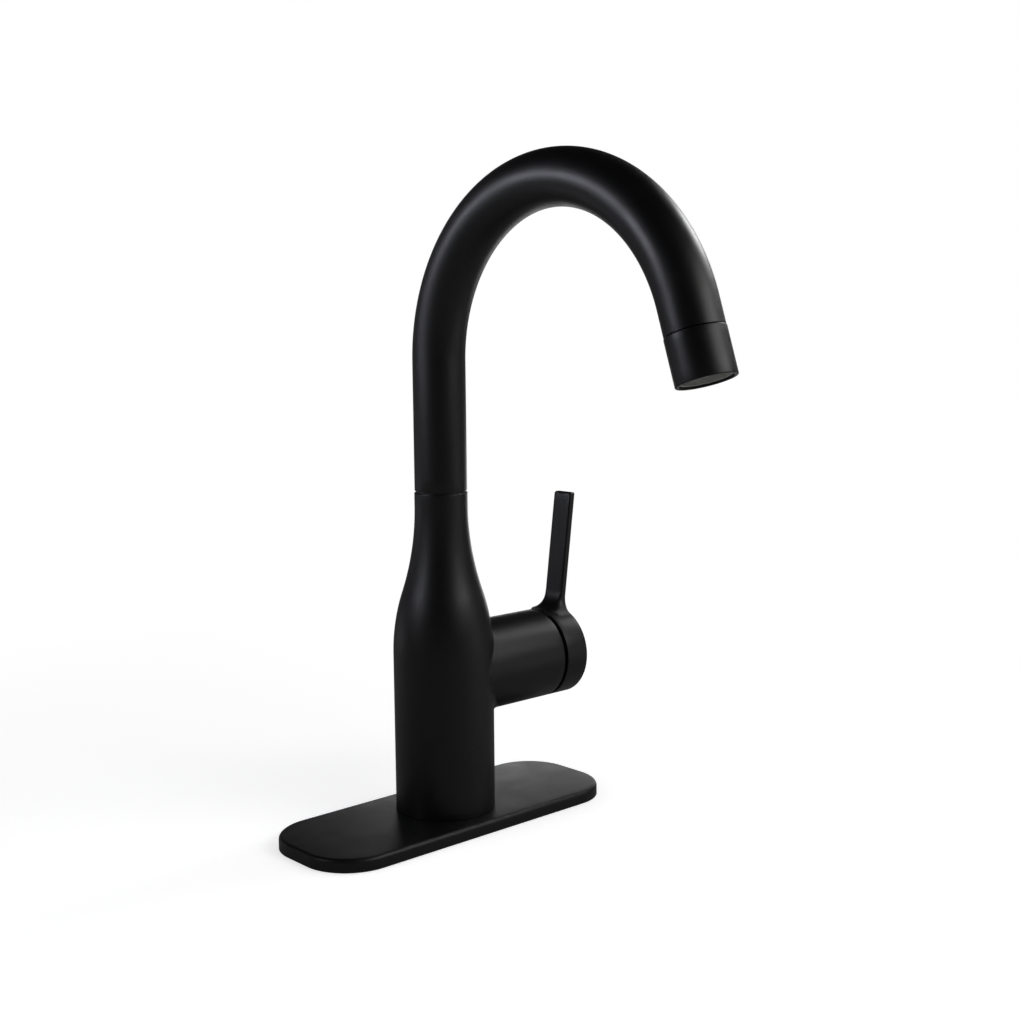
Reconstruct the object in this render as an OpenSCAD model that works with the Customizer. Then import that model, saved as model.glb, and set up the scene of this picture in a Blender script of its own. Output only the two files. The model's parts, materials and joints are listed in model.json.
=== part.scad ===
// Gooseneck bar faucet with one side lever, a deck plate and the clamp under the deck.
// Millimetres, +Z up. The deck plate runs along X, the handle is on +X and the spout
// points to -Y. The origin is on the body's axis, on the deck.

/* [Deck plate] */
// Length of the deck plate
plate_len = 165; // [150:1:200]
// Width of the deck plate
plate_w = 61; // [56:1:80]
// Radius of the plate's corners, seen from above
plate_corner_r = 23; // [12:0.1:26]
// Height of the plate's top above the deck
plate_h = 6; // [5:0.1:9]
// Radius of the plate's rounded top edge
plate_edge_r = 1.8; // [0.5:0.1:2.2]
// Thickness of the plate's rim, seen from below
plate_rim = 2.4; // [2.3:0.1:4]
// Thickness of the plate's top
plate_top_t = 2.6; // [2.3:0.1:3.4]
// Height of the plate's rim above the deck, where the gasket stands proud
gasket_proud = 0.2; // [0.2:0.1:1]

/* [Body] */
// Diameter of the body's straight lower part
body_d = 45.8; // [45:0.1:52]
// Diameter of the neck where it meets the spout
neck_d = 24.1; // [23.8:0.1:26]
// Height where the shoulder starts to curve in
shoulder_z = 79; // [76:0.5:86]
// Radius of the shoulder's outward curve
shoulder_arc_r = 89.6; // [70:0.1:95]
// Radius of the neck's inward curve
neck_arc_r = 124.8; // [90:0.1:130]
// Height of the seam between body and spout
seam_z = 152.6; // [150:0.5:190]
// Width of the small bevels on visible edges
edge_bevel = 0.4; // [0.2:0.1:0.6]

/* [Side boss] */
// Diameter of the horizontal boss
boss_d = 42.2; // [41.6:0.1:45]
// Height of the boss's axis above the deck
boss_z = 69.1; // [66:0.1:74]
// Distance from the body's axis to the boss's end
boss_end_x = 57.6; // [57:0.1:62]
// Bore of the boss around the cartridge
cartridge_bore_d = 35.2; // [35:0.1:35.6]
// Bore of the boss's mouth, where the retaining nut screws in
mouth_d = 36.6; // [36.2:0.1:37]
// Distance from the body's axis to the face that the cartridge sits on
seat_x = 12; // [11.5:0.1:12.5]

/* [Waterways] */
// Diameter of the threaded inlets for the supply hoses
inlet_d = 9; // [8.6:0.1:9.4]
// Depth of the inlet threads
inlet_depth = 12; // [10:0.5:13]
// Distance of each inlet from the plane of the spout
inlet_y = 6.3; // [6.1:0.1:6.6]
// Diameter of the drilled hot and cold ways
way_d = 5.2; // [4.4:0.1:5.6]
// Diameter of the way from the cartridge up to the spout
riser_d = 8; // [6:0.1:8.6]

/* [Shank and clamp] */
// Diameter of the smooth collar that centres the faucet in its deck hole
collar_d = 33.6; // [33:0.1:34]
// Length of the collar below the deck
collar_len = 6; // [4:0.5:10]
// Diameter of the shank's thread
thread_d = 31.8; // [31:0.1:32.2]
// Length of the shank below the deck
shank_len = 52; // [45:1:80]
// Bore of the shank, which the supply hoses pass through
shank_bore_d = 26; // [24:0.1:27]
// Thickness of the deck that the clamp is drawn at
deck_t = 20; // [12:0.5:25]
// Diameter of the rubber washer under the deck
rubber_washer_d = 54; // [48:1:64]
// Thickness of the rubber washer
rubber_washer_t = 3.5; // [2:0.1:5]
// Diameter of the steel washer
steel_washer_d = 50; // [46:1:60]
// Thickness of the steel washer
steel_washer_t = 2; // [1:0.1:3]
// Width across the flats of the mounting nut
nut_flats = 41; // [39:0.5:46]
// Height of the mounting nut
nut_h = 11; // [8:0.5:13]

/* [Spout] */
// Outer diameter of the gooseneck tube
tube_d = 23.8; // [23.4:0.1:25.4]
// Wall of the gooseneck tube
tube_wall = 1.5; // [1.3:0.1:1.7]
// Height where the tube starts to bend
bend_z = 211.4; // [205:0.5:260]
// Radius of the bend, to the middle of the tube
bend_r = 74.8; // [65:0.1:90]
// Angle that the tube bends through
bend_angle = 162; // [150:1:178]
// Straight length of tube after the bend
tail_len = 10.6; // [8:0.1:25]
// Gap that shows between the body and the spout
seam_gap = 0.75; // [0.6:0.05:1.2]
// Bore of the neck that the spout turns in
neck_bore_d = 20.4; // [20.2:0.1:20.6]
// Length of the spout's spigot inside the neck
spigot_len = 44; // [42:0.5:46]
// Bore of the spigot
spigot_bore_d = 13; // [10:0.1:14]

/* [Aerator] */
// Outer diameter of the aerator housing
housing_d = 24.2; // [24:0.1:26]
// Length of the aerator housing, with the seam above it
housing_len = 19.3; // [19:0.1:24]
// Gap that shows between the tube and the aerator housing
tip_gap = 0.3; // [0.2:0.05:0.6]
// Diameter of the aerator
aerator_d = 20.8; // [20.4:0.1:21.2]
// Depth of the aerator's face inside the housing's rim
aerator_recess = 0.9; // [0.5:0.1:1.5]
// Width across the flats of each cell in the aerator's face
cell_flats = 2.3; // [1.6:0.1:2.6]
// Wall between the cells
cell_wall = 0.7; // [0.5:0.1:1]

/* [Handle] */
// Diameter of the handle's hub
hub_d = 42.2; // [41.6:0.1:45]
// Length of the hub along the boss's axis
hub_len = 12.8; // [12.6:0.1:16]
// Gap that shows between the boss and the hub
hub_gap = 1.9; // [1.2:0.1:2.2]
// Wall of the hollow hub
hub_wall = 2; // [1.6:0.1:2.2]
// Thickness of the hub's closed end
hub_end_t = 3.3; // [2.5:0.1:3.6]
// Width of the lever
lever_w = 11.6; // [8:0.1:13]
// Thickness of the lever
lever_t = 3.5; // [2.5:0.1:4]
// Height of the lever's tip above the boss's axis
lever_h = 77; // [60:1:110]
// Angle that the lever leans away from the body
lever_lean = 7.6; // [0:0.1:12]
// Radius of the lever's blend into the hub's outline
lever_blend_r = 10; // [4:0.5:12]

/* [Cartridge] */
// Distance from the boss's end back to the pivot of the stem
pivot_depth = 24; // [23.8:0.1:24.4]
// Distance from the pivot to the ball that moves the disc
stem_arm = 8.5; // [8.3:0.1:8.7]
// Diameter of the stem
stem_d = 8; // [7.6:0.1:8.2]
// Diameter of the pivot pin
pin_d = 3; // [2.6:0.1:3.2]
// Outer diameter of the cartridge
cartridge_d = 34.8; // [34.4:0.1:34.9]
// Thickness of each ceramic disc
disc_t = 3; // [2.8:0.05:3.05]
// Largest tilt of the handle, which the slot for the stem leaves room for
tilt_max = 20; // [16:0.5:20.5]

/* [Fits] */
// Radial clearance of parts that turn in each other
run_fit = 0.06; // [0.03:0.01:0.09]
// Radial clearance of parts that are screwed or set into each other
set_fit = 0.1; // [0.05:0.01:0.12]
// Axial gap between parts that slide past each other
face_fit = 0.05; // [0.02:0.01:0.08]

/* [Hidden] */
$fn = 64;
cut = 1;                                   // how far a cut runs past the face it opens
seat_gap = 0.3;                            // between faces that don't touch each other

body_r = body_d / 2;
neck_r = neck_d / 2;
boss_r = boss_d / 2;
tube_r = tube_d / 2;
neck_bore_r = neck_bore_d / 2;
mouth_r = mouth_d / 2;
cartridge_bore_r = cartridge_bore_d / 2;
thread_r = thread_d / 2;
socket_r = thread_r + set_fit;

// The shoulder and the neck are two arcs that meet where their slopes agree.
shoulder_turn = acos(1 - (body_r - neck_r) / (shoulder_arc_r + neck_arc_r));
inflect_z = shoulder_z + shoulder_arc_r * sin(shoulder_turn);
inflect_r = body_r - shoulder_arc_r * (1 - cos(shoulder_turn));
neck_z = inflect_z + neck_arc_r * sin(shoulder_turn);

// Deck plate and its gasket
plate_hole_room = 0.4;                     // round the shank's collar
plate_hole_r = collar_d / 2 + plate_hole_room;
gasket_room = 0.4;                         // inside the plate's rim
gasket_inset = plate_rim + gasket_room;
gasket_t = plate_h - plate_top_t;

// Base seal between the body and the deck plate
base_ring_inset = 3.6;
base_ring_r = body_r - base_ring_inset;
base_ring_wire = 0.95;
base_groove_half = 1.2;
base_groove_d = 2;

// Inlet manifold above the shank
socket_depth = 16;
shank_top_z = plate_h + socket_depth;
shank_neck_step = 0.4;                     // above the collar, inside the plate's hole
shank_neck_r = collar_d / 2 - shank_neck_step;
shank_chamfer = 0.8;
manifold_z = shank_top_z + seat_gap;
manifold_h = 15.7;
manifold_top_z = manifold_z + manifold_h;
inlet_x = 2;
riser_x = -6;
port_z = 4.6;                              // hot and cold ports, above the boss's axis
outlet_z = -5.5;                           // outlet port, below the boss's axis
outlet_d = 6.4;

// Clamp under the deck
washer_room = 0.3;
washer_bore_r = thread_r + washer_room;
steel_washer_z = -deck_t - rubber_washer_t;
nut_z = steel_washer_z - steel_washer_t;

// Spout, with places measured down from the seam
spigot_step = 0.5;                         // the spigot's wall stands back from the bore
spout_bore_room = 2;                       // bore left below the spigot
chamber_h = 12;
upper_glide_drop = 9;
upper_seal_drop = 14;
lower_seal_drop = 24;
lower_glide_drop = 33;
clip_drop = 39;
clip_out = 0.8;                            // how far the clip reaches into the neck's groove
clip_in = 1.2;                             // and into the spigot's groove
tube_bore_r = tube_r - tube_wall;
tube_z = seam_z + seam_gap;
spigot_r = neck_bore_r - spigot_step;
spigot_z = seam_z - spigot_len;
spigot_up = 12;                            // how far the spigot reaches into the tube
seam_inset = 0.9;                          // how far the thrust washer sits inside the neck
spout_bore_z = spigot_z - spout_bore_room;
chamber_z = spout_bore_z - chamber_h;
chamber_r = 9;
seal_wire = 1.1;
seal_room = 0.2;                           // room beside a seal in its groove
seal_outer_r = neck_bore_r - run_fit;
upper_seal_z = seam_z - upper_seal_drop;
lower_seal_z = seam_z - lower_seal_drop;
upper_glide_z = seam_z - upper_glide_drop;
lower_glide_z = seam_z - lower_glide_drop;
glide_h = 4;
glide_t = 1.2;
clip_z = seam_z - clip_drop;
clip_t = 1.2;
clip_outer_r = neck_bore_r + clip_out;
clip_inner_r = spigot_r - clip_in;
tip_y = -bend_r * (1 - cos(bend_angle)) - tail_len * sin(bend_angle);
tip_z = bend_z + bend_r * sin(bend_angle) + tail_len * cos(bend_angle);

weld_len = 0.5;                            // how far the straight tail reaches into the bend
weld_step = 0.05;                          // and how much thinner it is, so that it stays inside

// Tip and aerator, measured along the flow from the end of the tube
insert_r = tube_bore_r - set_fit;
insert_step = 0.3;                         // from the part in the tube to the thread
insert_thread_r = insert_r - insert_step;
insert_in = 12;
insert_out = 9;
insert_wall = 2;
insert_bore_r = insert_thread_r - insert_wall;
tip_ring_wire = 0.65;
tip_ring_x = 1.5;                          // from the tube's end to the O-ring
aerator_r = aerator_d / 2;
housing_bore_r = aerator_r + set_fit;
aerator_end = housing_len - aerator_recess;
aerator_h = 7.5;
aerator_top = aerator_end - aerator_h;
screen_t = 0.8;
gasket_top = insert_out + seat_gap;
cell_floor = 2.6;
cell_pitch = cell_flats + cell_wall;

// Cartridge, measured along X from the body's axis
pivot_x = boss_end_x - pivot_depth;
ball_x = pivot_x - stem_arm;
ball_r = 2.5;
ball_neck_r = 1.9;
pin_fit = 0.03;
socket_fit = 0.2;
driver_reach = 10;                         // from the seat to the driver
driver_x = seat_x + driver_reach;
driver_t = 5;
driver_half_w = 9;
moving_disc_x = driver_x - disc_t;
fixed_disc_x = moving_disc_x - face_fit - disc_t;
seal_t = 1;
base_x = seat_x + seal_t;
cartridge_r = cartridge_d / 2;
cartridge_wall = 2;
cartridge_in_r = cartridge_r - cartridge_wall;
cartridge_len = 26;                        // from the seat to the shoulder under the nut
shoulder_x = seat_x + cartridge_len;
cartridge_neck_r = 14.9;
cartridge_neck_len = 7;
cartridge_neck_x = shoulder_x + cartridge_neck_len;
rotor_neck_r = 11.9;
rotor_ring_wire = 0.55;
rotor_ring_drop = 2.4;
rotor_ring_x = cartridge_neck_x - rotor_ring_drop;
rotor_flange_x = driver_x + driver_t + seat_gap;
rotor_proud = 1;
rotor_top_x = cartridge_neck_x + rotor_proud;
roof_t = 2;
roof_x = shoulder_x - roof_t;
slot_side_room = 0.2;
slot_end_room = 0.3;
slot_half_w = stem_d / 2 + slot_side_room;
slot_low = (rotor_top_x - pivot_x) * sin(tilt_max) + stem_d / 2 / cos(tilt_max) + slot_end_room;
slot_high = stem_arm * sin(tilt_max) + ball_r + slot_end_room;
disc_r = 10.5;
port_step = 0.1;                           // the seals' holes are this much smaller
port_r = way_d / 2 - port_step;
outlet_r = outlet_d / 2 - port_step;
nut_x = shoulder_x + seat_gap;
retaining_nut_t = 6.5;
trim_proud = 6.8;
trim_wall = 2.2;
trim_sphere_r = pivot_depth + trim_proud;

// Handle
hub_x = boss_end_x + hub_gap;
hub_end_x = hub_x + hub_len;
hub_r = hub_d / 2;
hub_in_r = hub_r - hub_wall;
hub_in_x = hub_end_x - hub_end_t;
mouth_bevel = 0.6;                         // inside the hub's mouth, clear of the boss's end
hub_neck_wall = 1.5;
hub_neck_r = stem_d / 2 + hub_neck_wall;
hub_neck_set = 2;                          // how far the hub's inner neck stands back
hub_neck_x = hub_x + hub_neck_set;
stem_flat = 3.2;                           // half the width across the stem's two flats
screw_drop = 3.2;
screw_x = hub_in_x - screw_drop;
screw_r = 2.4;
screw_boss_r = 3.1;
plug_t = 1.8;
plug_inset = 0.4;
blend_step = 1;                            // ends each blend just before it touches
lever_foot_r = (hub_len - lever_t) * cos(lever_lean) / (1 - sin(lever_lean));   // blend to the hub's rim

// ---------- shapes used by several pieces ----------

module tube_at(z0, z1, outer_r, inner_r) {
    translate([0, 0, z0]) difference() {
        cylinder(h = z1 - z0, r = outer_r);
        translate([0, 0, -cut]) cylinder(h = z1 - z0 + 2 * cut, r = inner_r);
    }
}

// Turns a shape that stands on Z so that it lies on the boss's axis from x on.
module on_boss(x) {
    translate([x, 0, boss_z]) rotate([0, 90, 0]) children();
}

// On the boss, a point at (side, up) of the cross-section.
module at_port(side, up) {
    translate([-up, side, 0]) children();
}

// Places a shape at the end of the tube, with +Z along the flow.
module at_tip() {
    translate([0, tip_y, tip_z]) rotate([bend_angle, 0, 0]) children();
}

module o_ring(z, wire_r, outer_r) {
    translate([0, 0, z]) rotate_extrude() translate([outer_r - wire_r, 0]) circle(r = wire_r);
}

module plate_outline(inset) {
    r = plate_corner_r - inset;
    x = plate_len / 2 - plate_corner_r;
    y = plate_w / 2 - plate_corner_r;
    square([2 * (x + r), 2 * y], center = true);
    square([2 * x, 2 * (y + r)], center = true);
    for (sx = [-1, 1], sy = [-1, 1]) translate([sx * x, sy * y]) circle(r = r);
}

// ---------- deck plate ----------

module plate_rim_profile() {
    r = plate_corner_r;
    e = plate_edge_r;
    difference() {
        translate([0, gasket_proud]) square([r, plate_h - gasket_proud]);
        difference() {
            translate([r - e, plate_h - e]) square([e + cut, e + cut]);
            translate([r - e, plate_h - e]) circle(r = e);
        }
    }
}

module deck_plate() {
    x = plate_len / 2 - plate_corner_r;
    y = plate_w / 2 - plate_corner_r;
    color([0.07, 0.07, 0.075]) difference() {
        union() {
            translate([-x, -y, gasket_proud]) cube([2 * x, 2 * y, plate_h - gasket_proud]);
            for (a = [0, 180]) rotate(a) {
                translate([x, y, 0]) rotate_extrude(angle = 90) plate_rim_profile();
                translate([-x, y, 0]) rotate(90) rotate_extrude(angle = 90) plate_rim_profile();
                translate([x, y, 0]) rotate([90, 0, 0]) linear_extrude(2 * y) plate_rim_profile();
                translate([-x, y, 0]) rotate([90, 0, 90]) linear_extrude(2 * x) plate_rim_profile();
            }
        }
        translate([0, 0, -cut]) linear_extrude(gasket_t + cut) plate_outline(plate_rim);
        translate([0, 0, -cut]) cylinder(h = plate_h + 2 * cut, r = plate_hole_r);
    }
}

module deck_plate_gasket() {
    color([0.12, 0.12, 0.12]) difference() {
        linear_extrude(gasket_t) plate_outline(gasket_inset);
        translate([0, 0, -cut]) cylinder(h = gasket_t + 2 * cut, r = plate_hole_r);
    }
}

// ---------- body ----------

module body_profile() {
    translate([0, plate_h]) square([body_r, shoulder_z - plate_h]);
    intersection() {
        translate([0, shoulder_z]) square([body_r, inflect_z - shoulder_z]);
        translate([body_r - shoulder_arc_r, shoulder_z]) circle(r = shoulder_arc_r);
    }
    difference() {
        translate([0, inflect_z]) square([inflect_r, neck_z - inflect_z]);
        translate([neck_r + neck_arc_r, neck_z]) circle(r = neck_arc_r);
    }
    polygon([[0, neck_z - cut], [neck_r, neck_z - cut], [neck_r, seam_z - edge_bevel],
        [neck_r - edge_bevel, seam_z], [0, seam_z]]);
}

module body_waterways() {
    for (side = [-1, 1]) {
        translate([inlet_x, side * inlet_y, manifold_top_z - cut])
            cylinder(h = boss_z + port_z - manifold_top_z + cut, r = way_d / 2);
        translate([inlet_x, side * inlet_y, boss_z + port_z]) rotate([0, 90, 0])
            cylinder(h = seat_x - inlet_x + cut, r = way_d / 2);
    }
    translate([riser_x, 0, boss_z + outlet_z]) rotate([0, 90, 0])
        cylinder(h = seat_x - riser_x + cut, r = outlet_d / 2);
    translate([riser_x, 0, boss_z + outlet_z - outlet_d / 2])
        cylinder(h = chamber_z + cut - boss_z - outlet_z + outlet_d / 2, r = riser_d / 2);
    translate([0, 0, chamber_z]) cylinder(h = spout_bore_z - chamber_z + cut, r = chamber_r);
}

module faucet_body() {
    color([0.07, 0.07, 0.075]) difference() {
        union() {
            rotate_extrude() body_profile();
            on_boss(0) cylinder(h = boss_end_x - edge_bevel, r = boss_r);
            on_boss(boss_end_x - edge_bevel)
                cylinder(h = edge_bevel, r1 = boss_r, r2 = boss_r - edge_bevel);
        }
        translate([0, 0, plate_h - cut]) cylinder(h = manifold_top_z - plate_h + cut, r = socket_r);
        tube_at(plate_h - cut, plate_h + base_groove_d, base_ring_r + base_groove_half,
            base_ring_r - base_groove_half);
        body_waterways();
        translate([0, 0, spout_bore_z]) cylinder(h = seam_z - spout_bore_z + cut, r = neck_bore_r);
        translate([0, 0, clip_z - face_fit])
            cylinder(h = clip_t + 2 * face_fit, r = clip_outer_r + set_fit);
        on_boss(seat_x) cylinder(h = shoulder_x - seat_x + cut, r = cartridge_bore_r);
        on_boss(shoulder_x) cylinder(h = boss_end_x - shoulder_x + cut, r = mouth_r);
    }
}

module body_base_o_ring() {
    color([0.05, 0.05, 0.05])
        o_ring(plate_h + base_ring_wire + 0.02, base_ring_wire, base_ring_r + base_ring_wire);
}

module inlet_manifold() {
    color([0.78, 0.6, 0.3]) difference() {
        translate([0, 0, manifold_z])
            cylinder(h = manifold_h - face_fit, r = socket_r - set_fit);
        for (side = [-1, 1]) translate([inlet_x, side * inlet_y, 0]) {
            translate([0, 0, manifold_z - cut]) cylinder(h = inlet_depth + cut, r = inlet_d / 2);
            translate([0, 0, manifold_z]) cylinder(h = manifold_h + cut, r = way_d / 2);
        }
    }
}

// ---------- shank and clamp ----------

module mounting_shank() {
    color([0.78, 0.6, 0.3]) difference() {
        union() {
            translate([0, 0, shank_chamfer - shank_len])
                cylinder(h = shank_len + shank_top_z - shank_chamfer, r = thread_r);
            translate([0, 0, -shank_len])
                cylinder(h = shank_chamfer, r1 = thread_r - shank_chamfer, r2 = thread_r);
            translate([0, 0, -collar_len]) cylinder(h = collar_len, r = collar_d / 2);
            translate([0, 0, -cut]) cylinder(h = cut + plate_h - seat_gap, r = shank_neck_r);
        }
        translate([0, 0, -shank_len - cut])
            cylinder(h = shank_len + shank_top_z + 2 * cut, r = shank_bore_d / 2);
    }
}

module rubber_deck_washer() {
    color([0.06, 0.06, 0.06])
        tube_at(-deck_t - rubber_washer_t, -deck_t, rubber_washer_d / 2, washer_bore_r);
}

module steel_deck_washer() {
    color([0.7, 0.71, 0.72])
        tube_at(steel_washer_z - steel_washer_t, steel_washer_z, steel_washer_d / 2, washer_bore_r);
}

module mounting_nut() {
    corner_r = nut_flats / 2 / cos(30);
    over_r = corner_r + 0.2;               // just past the corners
    chamfer_r = nut_flats / 2 - 0.3;
    chamfer_h = 1.2;
    color([0.78, 0.6, 0.3]) translate([0, 0, nut_z - nut_h]) difference() {
        intersection() {
            cylinder(h = nut_h, r = corner_r, $fn = 6);
            union() {
                cylinder(h = chamfer_h, r1 = chamfer_r, r2 = over_r);
                translate([0, 0, chamfer_h]) cylinder(h = nut_h - chamfer_h, r = over_r);
            }
        }
        translate([0, 0, -cut]) cylinder(h = nut_h + 2 * cut, r = socket_r);
    }
}

// ---------- spout ----------

module spout_thrust_washer() {
    color([0.1, 0.1, 0.1])
        tube_at(seam_z, tube_z - face_fit, neck_r - seam_inset, neck_bore_r);
}

module spout_retaining_ring() {
    gap_w = 5;
    color([0.7, 0.71, 0.72]) difference() {
        tube_at(clip_z, clip_z + clip_t, clip_outer_r, clip_inner_r);
        translate([0, -gap_w / 2, clip_z - cut]) cube([clip_outer_r + cut, gap_w, clip_t + 2 * cut]);
    }
}

module tube_solid(r, extra) {
    translate([0, 0, tube_z - extra]) cylinder(h = bend_z - tube_z + extra, r = r);
    translate([0, -bend_r, bend_z]) rotate([90, 0, 90])
        rotate_extrude(angle = bend_angle) translate([bend_r, 0]) circle(r = r);
    at_tip() translate([0, 0, -tail_len - weld_len])
        cylinder(h = tail_len + weld_len + extra, r = r - weld_step);
}

module gooseneck_tube() {
    color([0.07, 0.07, 0.075]) difference() {
        tube_solid(tube_r, 0);
        tube_solid(tube_bore_r, cut);
    }
}

module spout_spigot() {
    color([0.78, 0.6, 0.3]) difference() {
        union() {
            translate([0, 0, spigot_z]) cylinder(h = spigot_len + seam_gap, r = spigot_r);
            translate([0, 0, tube_z]) cylinder(h = spigot_up, r = tube_bore_r - set_fit);
        }
        translate([0, 0, spigot_z - cut])
            cylinder(h = spigot_len + seam_gap + spigot_up + 2 * cut, r = spigot_bore_d / 2);
        for (z = [upper_seal_z, lower_seal_z])
            tube_at(z - seal_wire - seal_room, z + seal_wire + seal_room, spigot_r + cut,
                seal_outer_r - 2 * seal_wire - face_fit);
        for (z = [upper_glide_z, lower_glide_z])
            tube_at(z - face_fit, z + glide_h + face_fit, spigot_r + cut,
                seal_outer_r - glide_t - face_fit);
        tube_at(clip_z - set_fit, clip_z + clip_t + set_fit, spigot_r + cut, clip_inner_r - set_fit);
    }
}

module upper_spout_o_ring() { color([0.05, 0.05, 0.05]) o_ring(upper_seal_z, seal_wire, seal_outer_r); }
module lower_spout_o_ring() { color([0.05, 0.05, 0.05]) o_ring(lower_seal_z, seal_wire, seal_outer_r); }

module glide_ring(z) {
    slit_w = 1;
    difference() {
        tube_at(z, z + glide_h, seal_outer_r, seal_outer_r - glide_t);
        translate([0, -slit_w / 2, z - cut]) cube([neck_bore_r + cut, slit_w, glide_h + 2 * cut]);
    }
}

module upper_glide_ring() { color([0.85, 0.85, 0.82]) glide_ring(upper_glide_z); }
module lower_glide_ring() { color([0.85, 0.85, 0.82]) glide_ring(lower_glide_z); }

// ---------- tip and aerator ----------

module spout_tip_insert() {
    color([0.78, 0.6, 0.3]) at_tip() difference() {
        union() {
            translate([0, 0, -insert_in]) cylinder(h = insert_in, r = insert_r);
            cylinder(h = insert_out, r = insert_thread_r);
        }
        translate([0, 0, -insert_in - cut])
            cylinder(h = insert_in + insert_out + 2 * cut, r = insert_bore_r);
        tube_at(tip_ring_x - tip_ring_wire - seal_room, tip_ring_x + tip_ring_wire + seal_room,
            insert_r + cut, insert_thread_r - 2 * tip_ring_wire - face_fit);
    }
}

module tip_o_ring() {
    color([0.05, 0.05, 0.05]) at_tip() o_ring(tip_ring_x, tip_ring_wire, insert_thread_r);
}

module aerator_housing() {
    color([0.07, 0.07, 0.075]) at_tip() difference() {
        union() {
            translate([0, 0, tip_gap])
                cylinder(h = housing_len - tip_gap - edge_bevel, r = housing_d / 2);
            translate([0, 0, housing_len - edge_bevel])
                cylinder(h = edge_bevel, r1 = housing_d / 2, r2 = housing_d / 2 - edge_bevel);
        }
        cylinder(h = gasket_top, r = insert_thread_r + set_fit);
        translate([0, 0, gasket_top])
            cylinder(h = housing_len - gasket_top + cut, r = housing_bore_r);
    }
}

module aerator_gasket() {
    color([0.06, 0.06, 0.06]) at_tip()
        tube_at(gasket_top, aerator_top - screen_t - 0.1, aerator_r, insert_bore_r);
}

module aerator_screen() {
    hole_r = 0.8;
    pitch = 2.6;
    reach = 3;
    color([0.7, 0.71, 0.72]) at_tip() translate([0, 0, aerator_top - screen_t]) difference() {
        cylinder(h = screen_t - face_fit, r = aerator_r - 0.5);
        for (row = [-reach : reach], i = [-reach : reach])
            if (abs(row + i) <= reach)
                translate([pitch * (i + row / 2), pitch * row * sin(60), -cut])
                    cylinder(h = screen_t + 2 * cut, r = hole_r);
    }
}

module flow_regulator() {
    hole_ring_r = 5.2;
    color([0.25, 0.45, 0.62]) at_tip() translate([0, 0, aerator_top + 0.4]) difference() {
        cylinder(h = 3, r = aerator_r - 1.7);
        translate([0, 0, 1.4]) cylinder(h = 3, r = 2.4);
        for (a = [0 : 45 : 315]) rotate(a) translate([hole_ring_r, 0, -cut])
            cylinder(h = 3 + 2 * cut, r = 1.1);
    }
}

module aerator_face() {
    reach = 2;
    color([0.42, 0.42, 0.41]) at_tip() translate([0, 0, aerator_top]) difference() {
        cylinder(h = aerator_h, r = aerator_r);
        translate([0, 0, -cut]) cylinder(h = aerator_h - cell_floor + cut, r = aerator_r - 1.5);
        for (row = [-reach : reach], i = [-reach : reach])
            if (abs(row + i) <= reach)
                translate([cell_pitch * (i + row / 2), cell_pitch * row * sin(60), 0]) rotate(30)
                    cylinder(h = aerator_h + cut, r = cell_flats / 2 / cos(30), $fn = 6);
    }
}

// ---------- cartridge ----------

// The three ports in the cross-section: hot, cold and outlet.
module port_holes(h, grow) {
    for (side = [-1, 1]) at_port(side * inlet_y, port_z) translate([0, 0, -cut])
        cylinder(h = h + 2 * cut, r = port_r + grow);
    at_port(0, outlet_z) translate([0, 0, -cut])
        cylinder(h = h + 2 * cut, r = outlet_r + grow);
}

module cartridge_housing() {
    color([0.82, 0.83, 0.84]) difference() {
        union() {
            on_boss(base_x) cylinder(h = shoulder_x - base_x, r = cartridge_r);
            on_boss(shoulder_x) cylinder(h = cartridge_neck_x - shoulder_x, r = cartridge_neck_r);
        }
        on_boss(base_x - cut) cylinder(h = roof_x - base_x + cut, r = cartridge_in_r);
        on_boss(roof_x) cylinder(h = cartridge_neck_x - roof_x + cut, r = rotor_neck_r + run_fit);
    }
}

module cartridge_base() {
    t = fixed_disc_x - base_x;
    color([0.82, 0.83, 0.84]) on_boss(base_x) difference() {
        cylinder(h = t, r = cartridge_in_r - set_fit);
        port_holes(t, 0);
    }
}

module cartridge_base_seals() {
    color([0.05, 0.05, 0.05]) on_boss(seat_x) difference() {
        port_rims(seal_t - 0.02);
        port_holes(seal_t, 0);
    }
}

module port_rims(h) {
    rim = 1.1;
    for (side = [-1, 1]) at_port(side * inlet_y, port_z) cylinder(h = h, r = port_r + rim);
    at_port(0, outlet_z) cylinder(h = h, r = outlet_r + rim);
}

module fixed_ceramic_disc() {
    color([0.92, 0.91, 0.88]) on_boss(fixed_disc_x) difference() {
        cylinder(h = disc_t, r = cartridge_in_r - set_fit);
        port_holes(disc_t, 0);
    }
}

module moving_ceramic_disc() {
    pocket_d = 1.8;
    pocket_half_w = inlet_y + 0.7;
    pocket_top = port_z - port_r - 0.7;
    pocket_low = outlet_z - 2;
    color([0.92, 0.91, 0.88]) on_boss(moving_disc_x) difference() {
        cylinder(h = disc_t, r = disc_r);
        translate([-pocket_top, -pocket_half_w, -cut])
            cube([pocket_top - pocket_low, 2 * pocket_half_w, pocket_d + cut]);
    }
}

module disc_driver() {
    color([0.2, 0.2, 0.2]) on_boss(driver_x) difference() {
        intersection() {
            cylinder(h = driver_t, r = disc_r + 0.5);
            translate([-disc_r - cut, -driver_half_w, 0])
                cube([2 * (disc_r + cut), 2 * driver_half_w, driver_t]);
        }
        translate([0, 0, ball_x - ball_r - 0.2 - driver_x])
            cylinder(h = driver_t + cut, r = ball_r + socket_fit);
    }
}

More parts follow.
